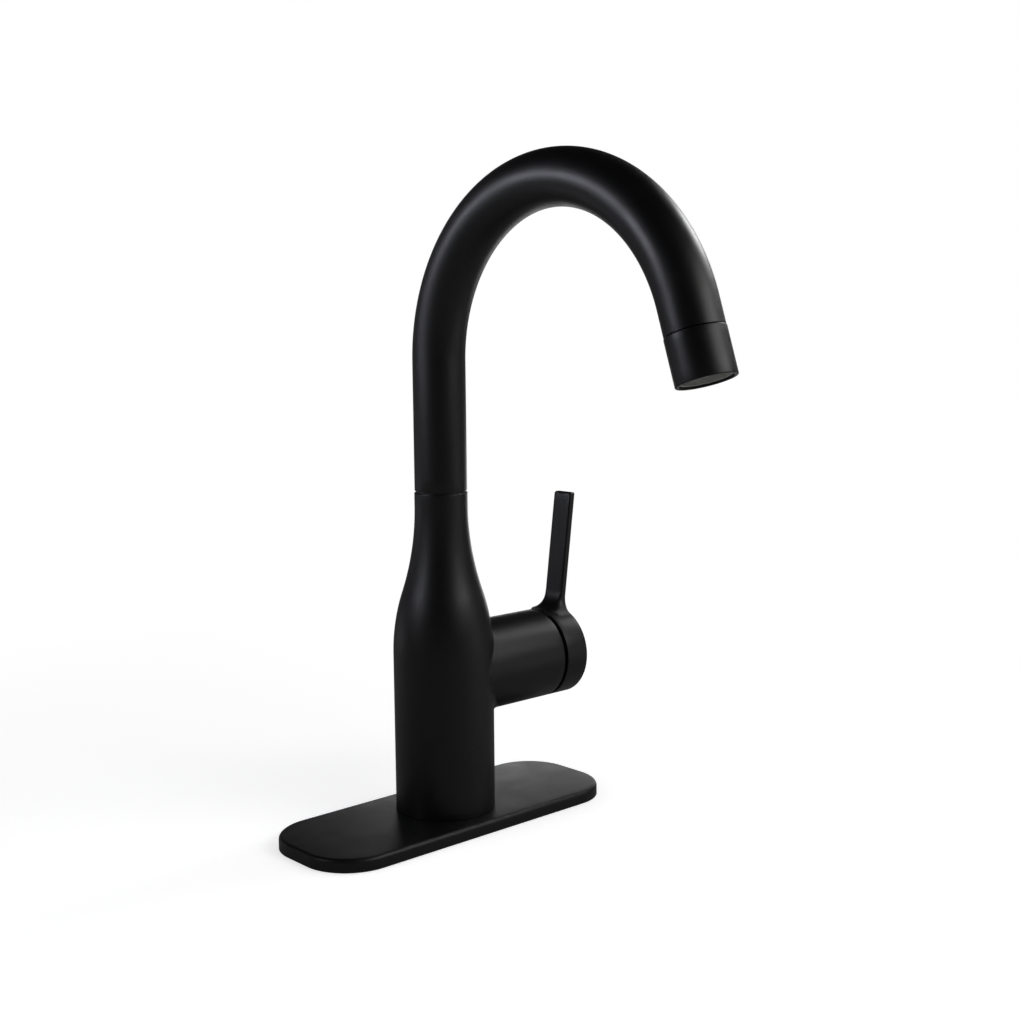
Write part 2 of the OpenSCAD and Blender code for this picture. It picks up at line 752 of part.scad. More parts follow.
module stem_rotor() {
    flange_r = cartridge_in_r - run_fit;
    ear_x = driver_x + 2 * seat_gap;
    color([0.2, 0.2, 0.2]) difference() {
        union() {
            on_boss(rotor_flange_x) cylinder(h = roof_x - face_fit - rotor_flange_x, r = flange_r);
            on_boss(roof_x - face_fit - cut)
                cylinder(h = rotor_top_x - roof_x + face_fit + cut, r = rotor_neck_r);
            on_boss(ear_x) intersection() {
                cylinder(h = rotor_flange_x - ear_x, r = flange_r);
                for (side = [-1, 1]) translate([-flange_r, side * flange_r - flange_r
                    + side * (driver_half_w + 0.1), -cut])
                    cube([2 * flange_r, 2 * flange_r, rotor_flange_x - ear_x + 2 * cut]);
            }
        }
        translate([rotor_flange_x - cut, -slot_half_w, boss_z - slot_low])
            cube([rotor_top_x - rotor_flange_x + 2 * cut, 2 * slot_half_w, slot_low + slot_high]);
        translate([pivot_x, flange_r + cut, boss_z]) rotate([90, 0, 0])
            cylinder(h = 2 * (flange_r + cut), r = pin_d / 2 + pin_fit);
        on_boss(rotor_ring_x) tube_at(-rotor_ring_wire - seal_room, rotor_ring_wire + seal_room,
            rotor_neck_r + cut, rotor_neck_r - 2 * rotor_ring_wire - face_fit);
    }
}

module rotor_o_ring() {
    color([0.05, 0.05, 0.05]) on_boss(rotor_ring_x) o_ring(0, rotor_ring_wire, rotor_neck_r);
}

module stem_pivot_pin() {
    half = cartridge_in_r - 1;
    color([0.7, 0.71, 0.72]) translate([pivot_x, half, boss_z]) rotate([90, 0, 0])
        cylinder(h = 2 * half, r = pin_d / 2);
}

module cartridge_stem() {
    barrel_back = 4;
    color([0.78, 0.6, 0.3]) difference() {
        union() {
            on_boss(pivot_x - barrel_back)
                cylinder(h = hub_in_x - seat_gap - pivot_x + barrel_back, r = stem_d / 2);
            on_boss(ball_x) cylinder(h = stem_arm - barrel_back + cut, r = ball_neck_r);
            translate([ball_x, 0, boss_z]) sphere(r = ball_r);
        }
        for (side = [-1, 1]) translate([hub_x, side * (stem_flat + stem_d / 2) - stem_d / 2,
            boss_z - stem_d]) cube([hub_in_x, stem_d, 2 * stem_d]);
        translate([pivot_x, stem_d, boss_z]) rotate([90, 0, 0])
            cylinder(h = 2 * stem_d, r = pin_d / 2 + run_fit);
    }
}

module cartridge_retaining_nut() {
    slots = 6;
    slot_w = 3;
    slot_d = 2.5;
    color([0.78, 0.6, 0.3]) on_boss(nut_x) difference() {
        cylinder(h = retaining_nut_t, r = mouth_r - set_fit);
        translate([0, 0, -cut]) cylinder(h = retaining_nut_t + 2 * cut, r = cartridge_neck_r + set_fit);
        for (i = [0 : slots - 1]) rotate(i * 360 / slots)
            translate([cartridge_neck_r - cut, -slot_w / 2, retaining_nut_t - slot_d])
                cube([mouth_r, slot_w, slot_d + cut]);
    }
}

module handle_trim_ring() {
    start_x = nut_x + retaining_nut_t + seat_gap;
    trim_r = mouth_r - set_fit;
    color([0.04, 0.04, 0.045]) intersection() {
        on_boss(start_x) tube_at(0, trim_sphere_r, trim_r, trim_r - trim_wall);
        on_boss(pivot_x) sphere(r = trim_sphere_r);
    }
}

// ---------- handle ----------

// Outline of hub and lever, seen along the boss's axis, with the lever up.
module lever_outline() {
    half = lever_w / 2;
    blend_y = half + lever_blend_r;
    blend_z = sqrt(pow(hub_r + lever_blend_r, 2) - pow(blend_y, 2));
    circle(r = hub_r);
    translate([-half, 0]) square([lever_w, lever_h]);
    difference() {
        polygon([[0, 0], [blend_y - blend_step, blend_z], [blend_step - blend_y, blend_z]]);
        for (side = [-1, 1]) translate([side * blend_y, blend_z]) circle(r = lever_blend_r);
    }
}

// Side view of hub and lever: x along the boss, y up from its axis.
module lever_side() {
    foot_z = hub_r - edge_bevel;
    lean = (lever_h - foot_z) * tan(lever_lean);
    blend_x = lever_foot_r * cos(lever_lean);
    blend_top = foot_z + lever_foot_r * (1 - sin(lever_lean)) - blend_step;
    translate([0, -hub_r - cut]) square([hub_len, foot_z + hub_r + cut]);
    difference() {
        polygon([[0, foot_z - cut], [hub_len, foot_z - cut], [hub_len, foot_z],
            [blend_x + lever_t / 3, blend_top], [0, blend_top]]);
        translate([0, foot_z + lever_foot_r]) circle(r = lever_foot_r);
    }
    polygon([[hub_len - lever_t, foot_z], [hub_len, foot_z], [hub_len + lean, lever_h],
        [hub_len - lever_t + lean, lever_h]]);
}

module lever_handle() {
    color([0.07, 0.07, 0.075]) difference() {
        intersection() {
            on_boss(hub_x) rotate(90) linear_extrude(2 * hub_len + lever_h) lever_outline();
            translate([hub_x, hub_r, boss_z]) rotate([90, 0, 0]) linear_extrude(2 * hub_r) lever_side();
        }
        difference() {
            union() {
                on_boss(hub_x - cut) cylinder(h = hub_in_x - hub_x + cut, r = hub_in_r);
                on_boss(hub_x - cut) cylinder(h = cut, r = hub_in_r + mouth_bevel);
                on_boss(hub_x) cylinder(h = mouth_bevel, r1 = hub_in_r + mouth_bevel, r2 = hub_in_r);
            }
            on_boss(hub_neck_x) cylinder(h = hub_len, r = hub_neck_r);
            translate([screw_x, 0, boss_z]) rotate([-90, 0, 0]) cylinder(h = hub_r, r = screw_boss_r);
        }
        on_boss(hub_neck_x - cut) linear_extrude(hub_in_x - hub_neck_x + cut) intersection() {
            circle(r = stem_d / 2 + set_fit);
            square([2 * stem_d, 2 * (stem_flat + set_fit)], center = true);
        }
        translate([screw_x, 0, boss_z]) rotate([-90, 0, 0])
            cylinder(h = hub_r + cut, r = screw_r + set_fit);
    }
}

module handle_set_screw() {
    screw_len = 8;
    tip = 0.8;
    key_flats = 2.5;
    key_depth = 2.4;
    color([0.7, 0.71, 0.72]) translate([screw_x, stem_flat + set_fit, boss_z]) rotate([-90, 0, 0])
        difference() {
            union() {
                cylinder(h = tip, r1 = screw_r - tip, r2 = screw_r);
                translate([0, 0, tip]) cylinder(h = screw_len - tip, r = screw_r);
            }
            translate([0, 0, screw_len - key_depth])
                cylinder(h = key_depth + cut, r = key_flats / 2 / cos(30), $fn = 6);
        }
}

module set_screw_plug() {
    color([0.05, 0.05, 0.055]) translate([screw_x, hub_r - plug_inset - plug_t, boss_z])
        rotate([-90, 0, 0]) cylinder(h = plug_t, r = screw_r);
}

deck_plate();
deck_plate_gasket();
faucet_body();
body_base_o_ring();
inlet_manifold();
mounting_shank();
rubber_deck_washer();
steel_deck_washer();
mounting_nut();
spout_thrust_washer();
spout_retaining_ring();
gooseneck_tube();
spout_spigot();
upper_spout_o_ring();
lower_spout_o_ring();
upper_glide_ring();
lower_glide_ring();
spout_tip_insert();
tip_o_ring();
aerator_housing();
aerator_gasket();
aerator_screen();
flow_regulator();
aerator_face();
cartridge_housing();
cartridge_base();
cartridge_base_seals();
fixed_ceramic_disc();
moving_ceramic_disc();
disc_driver();
stem_rotor();
rotor_o_ring();
stem_pivot_pin();
cartridge_stem();
cartridge_retaining_nut();
handle_trim_ring();
lever_handle();
handle_set_screw();
set_screw_plug();
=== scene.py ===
import json
import math

import bpy
from mathutils import Matrix, Vector


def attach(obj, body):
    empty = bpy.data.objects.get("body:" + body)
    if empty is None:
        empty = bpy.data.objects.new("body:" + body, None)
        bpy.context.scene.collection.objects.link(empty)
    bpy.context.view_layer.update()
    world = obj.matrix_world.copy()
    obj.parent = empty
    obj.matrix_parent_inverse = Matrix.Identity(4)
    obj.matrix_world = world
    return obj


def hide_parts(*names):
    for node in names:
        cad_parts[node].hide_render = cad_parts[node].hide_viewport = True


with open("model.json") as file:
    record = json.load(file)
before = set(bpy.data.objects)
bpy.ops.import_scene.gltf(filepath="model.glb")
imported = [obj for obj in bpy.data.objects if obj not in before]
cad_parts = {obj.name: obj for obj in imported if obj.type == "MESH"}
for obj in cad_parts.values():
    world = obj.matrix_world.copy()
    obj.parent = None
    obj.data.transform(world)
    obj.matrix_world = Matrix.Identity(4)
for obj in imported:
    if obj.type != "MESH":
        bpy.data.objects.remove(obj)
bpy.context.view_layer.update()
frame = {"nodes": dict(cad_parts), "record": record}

mm = 0.001
fullTurn = math.tau
hexTurn = math.radians(30)  # from a hexagon's corner to its flat
wallStep = 3 * mm  # between the rows of a straight wall
mergeGap = 1e-6  # corners closer than this become one
print("frame loaded:", len(frame["nodes"]), "nodes")


# tools for modelling

def deselectAll():
    if bpy.context.object and bpy.context.object.mode != "OBJECT":
        bpy.ops.object.mode_set(mode="OBJECT")
    bpy.ops.object.select_all(action="DESELECT")


def pick(piece):
    deselectAll()
    piece.select_set(True)
    bpy.context.view_layer.objects.active = piece


def startEditing(piece, everything=True):
    pick(piece)
    bpy.ops.object.mode_set(mode="EDIT")
    bpy.ops.mesh.select_all(action="SELECT" if everything else "DESELECT")


def stopEditing():
    bpy.ops.object.mode_set(mode="OBJECT")
    bpy.context.tool_settings.mesh_select_mode = (True, False, False)


def selectWhere(piece, parts, test):
    # parts is "edges" or "polygons"; the test reads one of them
    startEditing(piece, everything=False)
    stopEditing()
    bpy.context.tool_settings.mesh_select_mode = (False, parts == "edges", parts == "polygons")
    for item in getattr(piece.data, parts):
        item.select = test(item)
    bpy.ops.object.mode_set(mode="EDIT")


def endsOf(piece, edge):
    return [piece.data.vertices[i].co for i in edge.vertices]


def named(name):
    piece = bpy.context.object
    piece.name = name
    piece.data.name = name
    return piece


def applyPlace(piece):
    pick(piece)
    bpy.ops.object.transform_apply(location=True, rotation=True, scale=True)


def mergeAndPointOut(piece, distance=mergeGap):
    startEditing(piece)
    bpy.ops.mesh.remove_doubles(threshold=distance)
    bpy.ops.mesh.normals_make_consistent(inside=False)
    stopEditing()


def useModifier(piece, kind, **settings):
    pick(piece)
    modifier = piece.modifiers.new(kind.title(), kind)
    for key, value in settings.items():
        setattr(modifier, key, value)
    bpy.ops.object.modifier_apply(modifier=modifier.name)


def extrudeBy(step):
    bpy.ops.mesh.extrude_region_move(TRANSFORM_OT_translate={"value": step})


def combine(piece, other, how):
    useModifier(piece, "BOOLEAN", object=other, operation=how, solver="EXACT")
    bpy.data.objects.remove(other)


def joinTo(piece, *others):
    deselectAll()
    for other in others:
        other.select_set(True)
    piece.select_set(True)
    bpy.context.view_layer.objects.active = piece
    bpy.ops.object.join()


def drawLine(name, points):
    # one point, extruded from corner to corner
    deselectAll()
    bpy.ops.mesh.primitive_plane_add(size=mm, location=points[0])
    piece = named(name)
    bpy.ops.object.mode_set(mode="EDIT")
    bpy.ops.mesh.select_all(action="SELECT")
    bpy.ops.mesh.merge(type="CENTER")
    for start, end in zip(points, points[1:]):
        extrudeBy(Vector(end) - Vector(start))
    stopEditing()
    return piece


def turned(name, profile, steps=128, axis="Z", height=0.0):
    # profile holds (radius, place along the axis)
    if axis == "Z":
        points, direction = [(r, 0, s) for r, s in profile], (0, 0, 1)
    else:
        points, direction = [(s, 0, height + r) for r, s in profile], (1, 0, 0)
    piece = drawLine(name, points)
    startEditing(piece)
    bpy.ops.mesh.spin(steps=steps, angle=fullTurn, center=(0, 0, height), axis=direction)
    stopEditing()
    mergeAndPointOut(piece)
    applyPlace(piece)
    return piece


def arc(centre, radius, startDegrees, endDegrees, count=4):
    points = []
    for i in range(count + 1):
        a = math.radians(startDegrees + (endDegrees - startDegrees) * i / count)
        points.append((centre[0] + radius * math.cos(a), centre[1] + radius * math.sin(a)))
    return points


def rows(start, end, step):
    count = max(1, round(abs(end - start) / step))
    return [start + (end - start) * i / count for i in range(1, count)]


def loft(name, rings):
    # a grid wrapped round the rings, then closed at both ends
    across, along = len(rings[0]), len(rings)
    deselectAll()
    bpy.ops.mesh.primitive_grid_add(x_subdivisions=across, y_subdivisions=along - 1, size=mm)
    piece = named(name)
    for index, vertex in enumerate(piece.data.vertices):
        row, column = divmod(index, across + 1)
        vertex.co = rings[row][column % across]
    startEditing(piece)
    bpy.ops.mesh.remove_doubles(threshold=mergeGap / 10)
    bpy.ops.mesh.fill_holes(sides=0)
    bpy.ops.mesh.normals_make_consistent(inside=False)
    stopEditing()
    return piece


def dress(piece, finish, body, slot, *nodes, smooth=32):
    applyPlace(piece)
    bpy.ops.object.shade_smooth_by_angle(angle=math.radians(smooth))
    piece.data.materials.clear()
    piece.data.materials.append(finish)
    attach(piece, body)
    if nodes:
        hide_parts(*nodes)


# finishes

def newGroup(name, inputs, outputs):
    group = bpy.data.node_groups.new(name, "ShaderNodeTree")
    for label, kind, value in inputs:
        socket = group.interface.new_socket(name=label, in_out="INPUT", socket_type=kind)
        if value is not None:
            socket.default_value = value
    for label, kind in outputs:
        group.interface.new_socket(name=label, in_out="OUTPUT", socket_type=kind)
    return group, group.nodes.new("NodeGroupInput"), group.nodes.new("NodeGroupOutput")


def addNode(tree, kind, **settings):
    node = tree.nodes.new(kind)
    for key, value in settings.items():
        if hasattr(node, key):
            setattr(node, key, value)
        else:
            node.inputs[key.replace("_", " ")].default_value = value
    return node


def mathNode(tree, operation, first, second):
    node = tree.nodes.new("ShaderNodeMath")
    node.operation = operation
    for socket, value in zip(node.inputs, (first, second)):
        if isinstance(value, (int, float)):
            socket.default_value = value
        else:
            tree.links.new(value, socket)
    return node.outputs[0]


floatSocket, vectorSocket = "NodeSocketFloat", "NodeSocketVector"


def makeOrangePeel():
    # powder coat: fine sand grain on a soft orange peel
    group, given, result = newGroup(
        "orangePeel",
        [("Vector", vectorSocket, None), ("Grain Scale", floatSocket, 2600.0),
         ("Peel Scale", floatSocket, 420.0), ("Peel Share", floatSocket, 0.5)],
        [("Height", floatSocket), ("Sparkle", floatSocket)])
    grain = addNode(group, "ShaderNodeTexNoise", Detail=3.0, Roughness=0.6)
    peel = addNode(group, "ShaderNodeTexVoronoi", feature="SMOOTH_F1", Smoothness=0.8)
    for texture, scale in ((grain, "Grain Scale"), (peel, "Peel Scale")):
        group.links.new(given.outputs["Vector"], texture.inputs["Vector"])
        group.links.new(given.outputs[scale], texture.inputs["Scale"])
    peelPart = mathNode(group, "MULTIPLY", peel.outputs["Distance"], given.outputs["Peel Share"])
    height = mathNode(group, "ADD", grain.outputs[0], peelPart)
    ramp = addNode(group, "ShaderNodeMapRange", From_Min=0.62, From_Max=0.78)
    group.links.new(grain.outputs[0], ramp.inputs["Value"])
    group.links.new(height, result.inputs["Height"])
    group.links.new(ramp.outputs[0], result.inputs["Sparkle"])
    return group


def makeHandling():
    # faint smudges from fingers and cloths, and fine hairlines
    group, given, result = newGroup(
        "handling",
        [("Vector", vectorSocket, None), ("Smudge Scale", floatSocket, 45.0),
         ("Hairline Scale", floatSocket, 160.0)],
        [("Smudge", floatSocket), ("Hairline", floatSocket)])
    smudge = addNode(group, "ShaderNodeTexNoise", Detail=4.0, Roughness=0.55, Distortion=0.6)
    stretch = addNode(group, "ShaderNodeMapping", Rotation=(0.5, 0.35, 0.9), Scale=(1.0, 14.0, 1.0))
    hairline = addNode(group, "ShaderNodeTexNoise", Detail=2.0, Roughness=0.5)
    group.links.new(given.outputs["Vector"], smudge.inputs["Vector"])
    group.links.new(given.outputs["Vector"], stretch.inputs["Vector"])
    group.links.new(stretch.outputs[0], hairline.inputs["Vector"])
    group.links.new(given.outputs["Smudge Scale"], smudge.inputs["Scale"])
    group.links.new(given.outputs["Hairline Scale"], hairline.inputs["Scale"])
    soft = addNode(group, "ShaderNodeMapRange", From_Min=0.38, From_Max=0.68)
    sharp = addNode(group, "ShaderNodeMapRange", From_Min=0.66, From_Max=0.8)
    group.links.new(smudge.outputs[0], soft.inputs["Value"])
    group.links.new(hairline.outputs[0], sharp.inputs["Value"])
    group.links.new(soft.outputs[0], result.inputs["Smudge"])
    group.links.new(sharp.outputs[0], result.inputs["Hairline"])
    return group


def makeToolMarks():
    # lines left by a lathe or a brush, which run across the Vector's Z
    group, given, result = newGroup(
        "toolMarks",
        [("Vector", vectorSocket, None), ("Line Scale", floatSocket, 2200.0),
         ("Along", floatSocket, 0.03)],
        [("Height", floatSocket), ("Tone", floatSocket)])
    split = addNode(group, "ShaderNodeSeparateXYZ")
    gather = addNode(group, "ShaderNodeCombineXYZ")
    group.links.new(given.outputs["Vector"], split.inputs[0])
    for axis in (0, 1):
        drawnOut = mathNode(group, "MULTIPLY", split.outputs[axis], given.outputs["Along"])
        group.links.new(drawnOut, gather.inputs[axis])
    group.links.new(split.outputs[2], gather.inputs[2])
    lines = addNode(group, "ShaderNodeTexNoise", Detail=5.0, Roughness=0.7)
    group.links.new(gather.outputs[0], lines.inputs["Vector"])
    group.links.new(given.outputs["Line Scale"], lines.inputs["Scale"])
    tone = addNode(group, "ShaderNodeMapRange", From_Min=0.3, From_Max=0.7)
    group.links.new(lines.outputs[0], tone.inputs["Value"])
    group.links.new(lines.outputs[0], result.inputs["Height"])
    group.links.new(tone.outputs[0], result.inputs["Tone"])
    return group


orangePeel = makeOrangePeel()
handling = makeHandling()
toolMarks = makeToolMarks()


def placeGroup(tree, group, vector, **values):
    node = tree.nodes.new("ShaderNodeGroup")
    node.node_tree = group
    tree.links.new(vector, node.inputs["Vector"])
    for key, value in values.items():
        node.inputs[key.replace("_", " ")].default_value = value
    return node


def mixColours(tree, factor, first, second):
    node = tree.nodes.new("ShaderNodeMix")
    node.data_type = "RGBA"
    tree.links.new(factor, node.inputs["Factor"])
    node.inputs["A"].default_value = (*first, 1)
    node.inputs["B"].default_value = (*second, 1)
    return node.outputs["Result"]


def rangeOf(tree, value, low, high):
    node = tree.nodes.new("ShaderNodeMapRange")
    node.inputs["To Min"].default_value = low
    node.inputs["To Max"].default_value = high
    tree.links.new(value, node.inputs["Value"])
    return node.outputs[0]


def startFinish(name, **constants):
    finish = bpy.data.materials.new(name)
    finish.use_nodes = True
    tree = finish.node_tree
    shader = tree.nodes["Principled BSDF"]
    for key, value in constants.items():
        shader.inputs[key.replace("_", " ")].default_value = value
    place = tree.nodes.new("ShaderNodeTexCoord").outputs["Object"]
    return finish, tree, shader, place


def addBump(tree, shader, height, strength, distance):
    bump = tree.nodes.new("ShaderNodeBump")
    bump.inputs["Strength"].default_value = strength
    bump.inputs["Distance"].default_value = distance
    tree.links.new(height, bump.inputs["Height"])
    tree.links.new(bump.outputs[0], shader.inputs["Normal"])


paintLook = dict(
    # written dark, as the photograph's darkest parts are
    deep=(0.0013, 0.0013, 0.0016), pale=(0.0024, 0.0024, 0.0028),
    sheen=0.5, roughLow=0.40, roughHigh=0.47,
    grainStrength=0.32, grainDepth=0.03 * mm,
)
metalLook = dict(lineScale=2200.0, along=0.03, lineShare=0.5, smudgeScale=90.0,
                 smoother=0.06, rougher=0.08, lineStrength=0.14, lineDepth=0.02 * mm)
mouldedLook = dict(grainScale=1800.0, peelShare=5, smudgeScale=120.0, smoother=0.04, rougher=0.06,
                   grainStrength=0.2, grainDepth=0.02 * mm)


def makePaint():
    p = paintLook
    finish, tree, shader, place = startFinish("satinBlackPowderCoat", Specular_IOR_Level=p["sheen"])
    peel = placeGroup(tree, orangePeel, place)
    hands = placeGroup(tree, handling, place)
    colour = mixColours(tree, peel.outputs["Sparkle"], p["deep"], p["pale"])
    roughness = rangeOf(tree, hands.outputs["Smudge"], p["roughLow"], p["roughHigh"])
    tree.links.new(colour, shader.inputs["Base Color"])
    tree.links.new(roughness, shader.inputs["Roughness"])
    addBump(tree, shader, peel.outputs["Height"], p["grainStrength"], p["grainDepth"])
    return finish


def makeMetal(name, dark, light, rough, lineScale=metalLook["lineScale"], along=metalLook["along"]):
    # the tool's lines set the colour, and with the smudges the roughness
    m = metalLook
    finish, tree, shader, place = startFinish(name, Metallic=1.0)
    marks = placeGroup(tree, toolMarks, place, Line_Scale=lineScale, Along=along)
    hands = placeGroup(tree, handling, place, Smudge_Scale=m["smudgeScale"])
    colour = mixColours(tree, marks.outputs["Tone"], dark, light)
    lines = mathNode(tree, "MULTIPLY", marks.outputs["Tone"], m["lineShare"])
    smudges = mathNode(tree, "MULTIPLY", hands.outputs["Smudge"], 1 - m["lineShare"])
    blend = mathNode(tree, "ADD", lines, smudges)
    roughness = rangeOf(tree, blend, rough - m["smoother"], rough + m["rougher"])
    tree.links.new(colour, shader.inputs["Base Color"])
    tree.links.new(roughness, shader.inputs["Roughness"])
    addBump(tree, shader, marks.outputs["Height"], m["lineStrength"], m["lineDepth"])
    return finish


def makeMoulded(name, dark, light, rough, grainScale=mouldedLook["grainScale"],
                strength=mouldedLook["grainStrength"]):
    # rubber, plastic and ceramic: a moulded grain and faint handling
    m = mouldedLook
    finish, tree, shader, place = startFinish(name)
    grain = placeGroup(tree, orangePeel, place, Grain_Scale=grainScale,
                       Peel_Scale=grainScale / m["peelShare"])
    hands = placeGroup(tree, handling, place, Smudge_Scale=m["smudgeScale"])
    colour = mixColours(tree, hands.outputs["Smudge"], dark, light)
    roughness = rangeOf(tree, hands.outputs["Smudge"], rough - m["smoother"], rough + m["rougher"])
    tree.links.new(colour, shader.inputs["Base Color"])
    tree.links.new(roughness, shader.inputs["Roughness"])
    addBump(tree, shader, grain.outputs["Height"], strength, m["grainDepth"])
    return finish


finishes = {
    # after its name, each has a dark and a light tone and its roughness
    "powder_coat": makePaint(),
    "brass": makeMetal("machinedBrass", (0.55, 0.37, 0.14), (0.72, 0.52, 0.22), 0.26),
    "steel": makeMetal("zincPlatedSteel", (0.48, 0.49, 0.50), (0.66, 0.67, 0.66), 0.30,
                       lineScale=900.0, along=0.6),
    "stainless": makeMetal("stainlessSteel", (0.50, 0.49, 0.47), (0.62, 0.61, 0.59), 0.24),
    "rubber": makeMoulded("blackRubber", (0.012, 0.012, 0.012), (0.022, 0.022, 0.021), 0.72,
                          grainScale=1400.0, strength=0.35),
    "black_plastic": makeMoulded("blackNylon", (0.006, 0.006, 0.007), (0.011, 0.011, 0.012), 0.5),
    "grey_plastic": makeMoulded("greyAcetal", (0.20, 0.20, 0.19), (0.26, 0.26, 0.245), 0.42),
    "white_plastic": makeMoulded("whiteNylon", (0.66, 0.67, 0.67), (0.74, 0.75, 0.75), 0.4),
    "blue_plastic": makeMoulded("blueAcetal", (0.04, 0.14, 0.30), (0.06, 0.18, 0.36), 0.38),
    "glide_plastic": makeMoulded("glideRingPlastic", (0.66, 0.64, 0.56), (0.74, 0.72, 0.64), 0.34),
    "disc_ceramic": makeMoulded("lappedCeramic", (0.78, 0.77, 0.73), (0.84, 0.83, 0.80), 0.12,
                                grainScale=4000.0, strength=0.05),
}
for part in frame["record"]["subparts"]:
    node = frame["nodes"][part["node"]]
    for slot in node.material_slots:
        slot.material = finishes[part["material_slot"]]
print("finishes made:", len(finishes))


# camera, at the photograph's angle

cameraPlace = dict(azimuth=-42.14, elevation=7.45, roll=-0.55, distance=656.2 * mm,
                   aside=31.13 * mm, height=144.05 * mm,
                   focal=1449.8, frameWidth=1020, sensor=36.0, nearest=0.01, farthest=50)


def makeCamera():
    c = cameraPlace
    a, e, r = (math.radians(c[angle]) for angle in ("azimuth", "elevation", "roll"))
    back = Vector((math.sin(a) * math.cos(e), -math.cos(a) * math.cos(e), math.sin(e)))
    level = Vector((math.cos(a), math.sin(a), 0))
    upright = back.cross(level)
    right = math.cos(r) * level + math.sin(r) * upright
    up = math.cos(r) * upright - math.sin(r) * level
    target = Vector((level.x * c["aside"], level.y * c["aside"], c["height"]))
    bpy.ops.object.camera_add()
    camera = bpy.context.object
    camera.name = "photoCamera"
    camera.matrix_world = Matrix.Translation(target + back * c["distance"]) @ Matrix(
        (right, up, back)).transposed().to_4x4()
    camera.data.sensor_width = c["sensor"]
    camera.data.lens = c["focal"] * c["sensor"] / c["frameWidth"]
    camera.data.clip_start, camera.data.clip_end = c["nearest"], c["farthest"]
    bpy.context.scene.camera = camera


makeCamera()


# body

bodyShape = dict(
    foot=6 * mm, radius=22.9 * mm, shoulder=79 * mm, shoulderArc=89.6 * mm, neckArc=124.8 * mm,
    neck=12.05 * mm, seam=152.6 * mm, edge=0.4 * mm, neckBore=10.2 * mm, boreFloor=106.6 * mm,
    socket=16 * mm, socketRoof=38 * mm, curveLead=1 * mm, curveStep=1.2 * mm,
    bossRadius=21.1 * mm, bossHeight=69.1 * mm, bossStart=4 * mm, bossEnd=57.6 * mm,
    mouth=18.3 * mm, mouthFloor=38 * mm, cartridge=17.6 * mm, cartridgeFloor=12 * mm,
    around=160, boreAround=128,
)
filletShape = dict(below=4.2 * mm, above=1.5 * mm, around=160, across=25,
                   corner=1.42, sunk=0.8 * mm, proud=0.01 * mm)
bossHeight = bodyShape["bossHeight"]
shoulderTurn = math.acos(1 - (bodyShape["radius"] - bodyShape["neck"])
                         / (bodyShape["shoulderArc"] + bodyShape["neckArc"]))
inflectHeight = bodyShape["shoulder"] + bodyShape["shoulderArc"] * math.sin(shoulderTurn)
neckHeight = inflectHeight + bodyShape["neckArc"] * math.sin(shoulderTurn)


def bodyRadius(height):
    b = bodyShape
    if height <= b["shoulder"]:
        return b["radius"]
    if height <= inflectHeight:
        fall = math.sqrt(b["shoulderArc"] ** 2 - (height - b["shoulder"]) ** 2)
        return b["radius"] - b["shoulderArc"] + fall
    if height <= neckHeight:
        fall = math.sqrt(b["neckArc"] ** 2 - (neckHeight - height) ** 2)
        return b["neck"] + b["neckArc"] - fall
    return b["neck"]


def bodyOffset(height, gap):
    # the body's radius, a gap away from its surface; a few tries find it
    onBody, nudge = height, 0.1 * mm
    for _ in range(8):
        slope = (bodyRadius(onBody + nudge) - bodyRadius(onBody - nudge)) / (2 * nudge)
        tilt = math.atan(slope)
        onBody = height + gap * math.sin(tilt)
    return bodyRadius(onBody) + gap * math.cos(tilt), onBody


def makeFillet():
    # a ball rolled round the boss, in the corner between it and the body
    f, radius = filletShape, bodyShape["bossRadius"]
    deselectAll()
    bpy.ops.mesh.primitive_torus_add(major_segments=f["around"], minor_segments=f["across"],
                                     major_radius=radius, minor_radius=f["below"])
    piece = named("bossFillet")
    for index, vertex in enumerate(piece.data.vertices):
        turn, step = divmod(index, f["across"])
        angle = fullTurn * turn / f["around"]
        ball = f["above"] + (f["below"] - f["above"]) * (1 - math.cos(angle)) / 2
        side, up = math.sin(angle), math.cos(angle)
        centreY, centreZ = (radius + ball) * side, bossHeight + (radius + ball) * up
        reach, onBody = bodyOffset(centreZ, ball)
        centre = Vector((math.sqrt(reach ** 2 - centreY ** 2), centreY, centreZ))
        share = bodyRadius(onBody) / reach
        toBody = (Vector((centre.x * share, centreY * share, onBody)) - centre).normalized()
        toBoss = Vector((0, -side, -up))
        if step == f["across"] - 1:
            # the one row inside the metal
            middle = (toBody + toBoss).normalized()
            vertex.co = centre + middle * (ball * f["corner"] + f["sunk"])
        else:
            facing = toBody.slerp(toBoss, step / (f["across"] - 2))
            vertex.co = centre + facing * (ball + f["proud"])
    mergeAndPointOut(piece, mergeGap / 100)
    return piece


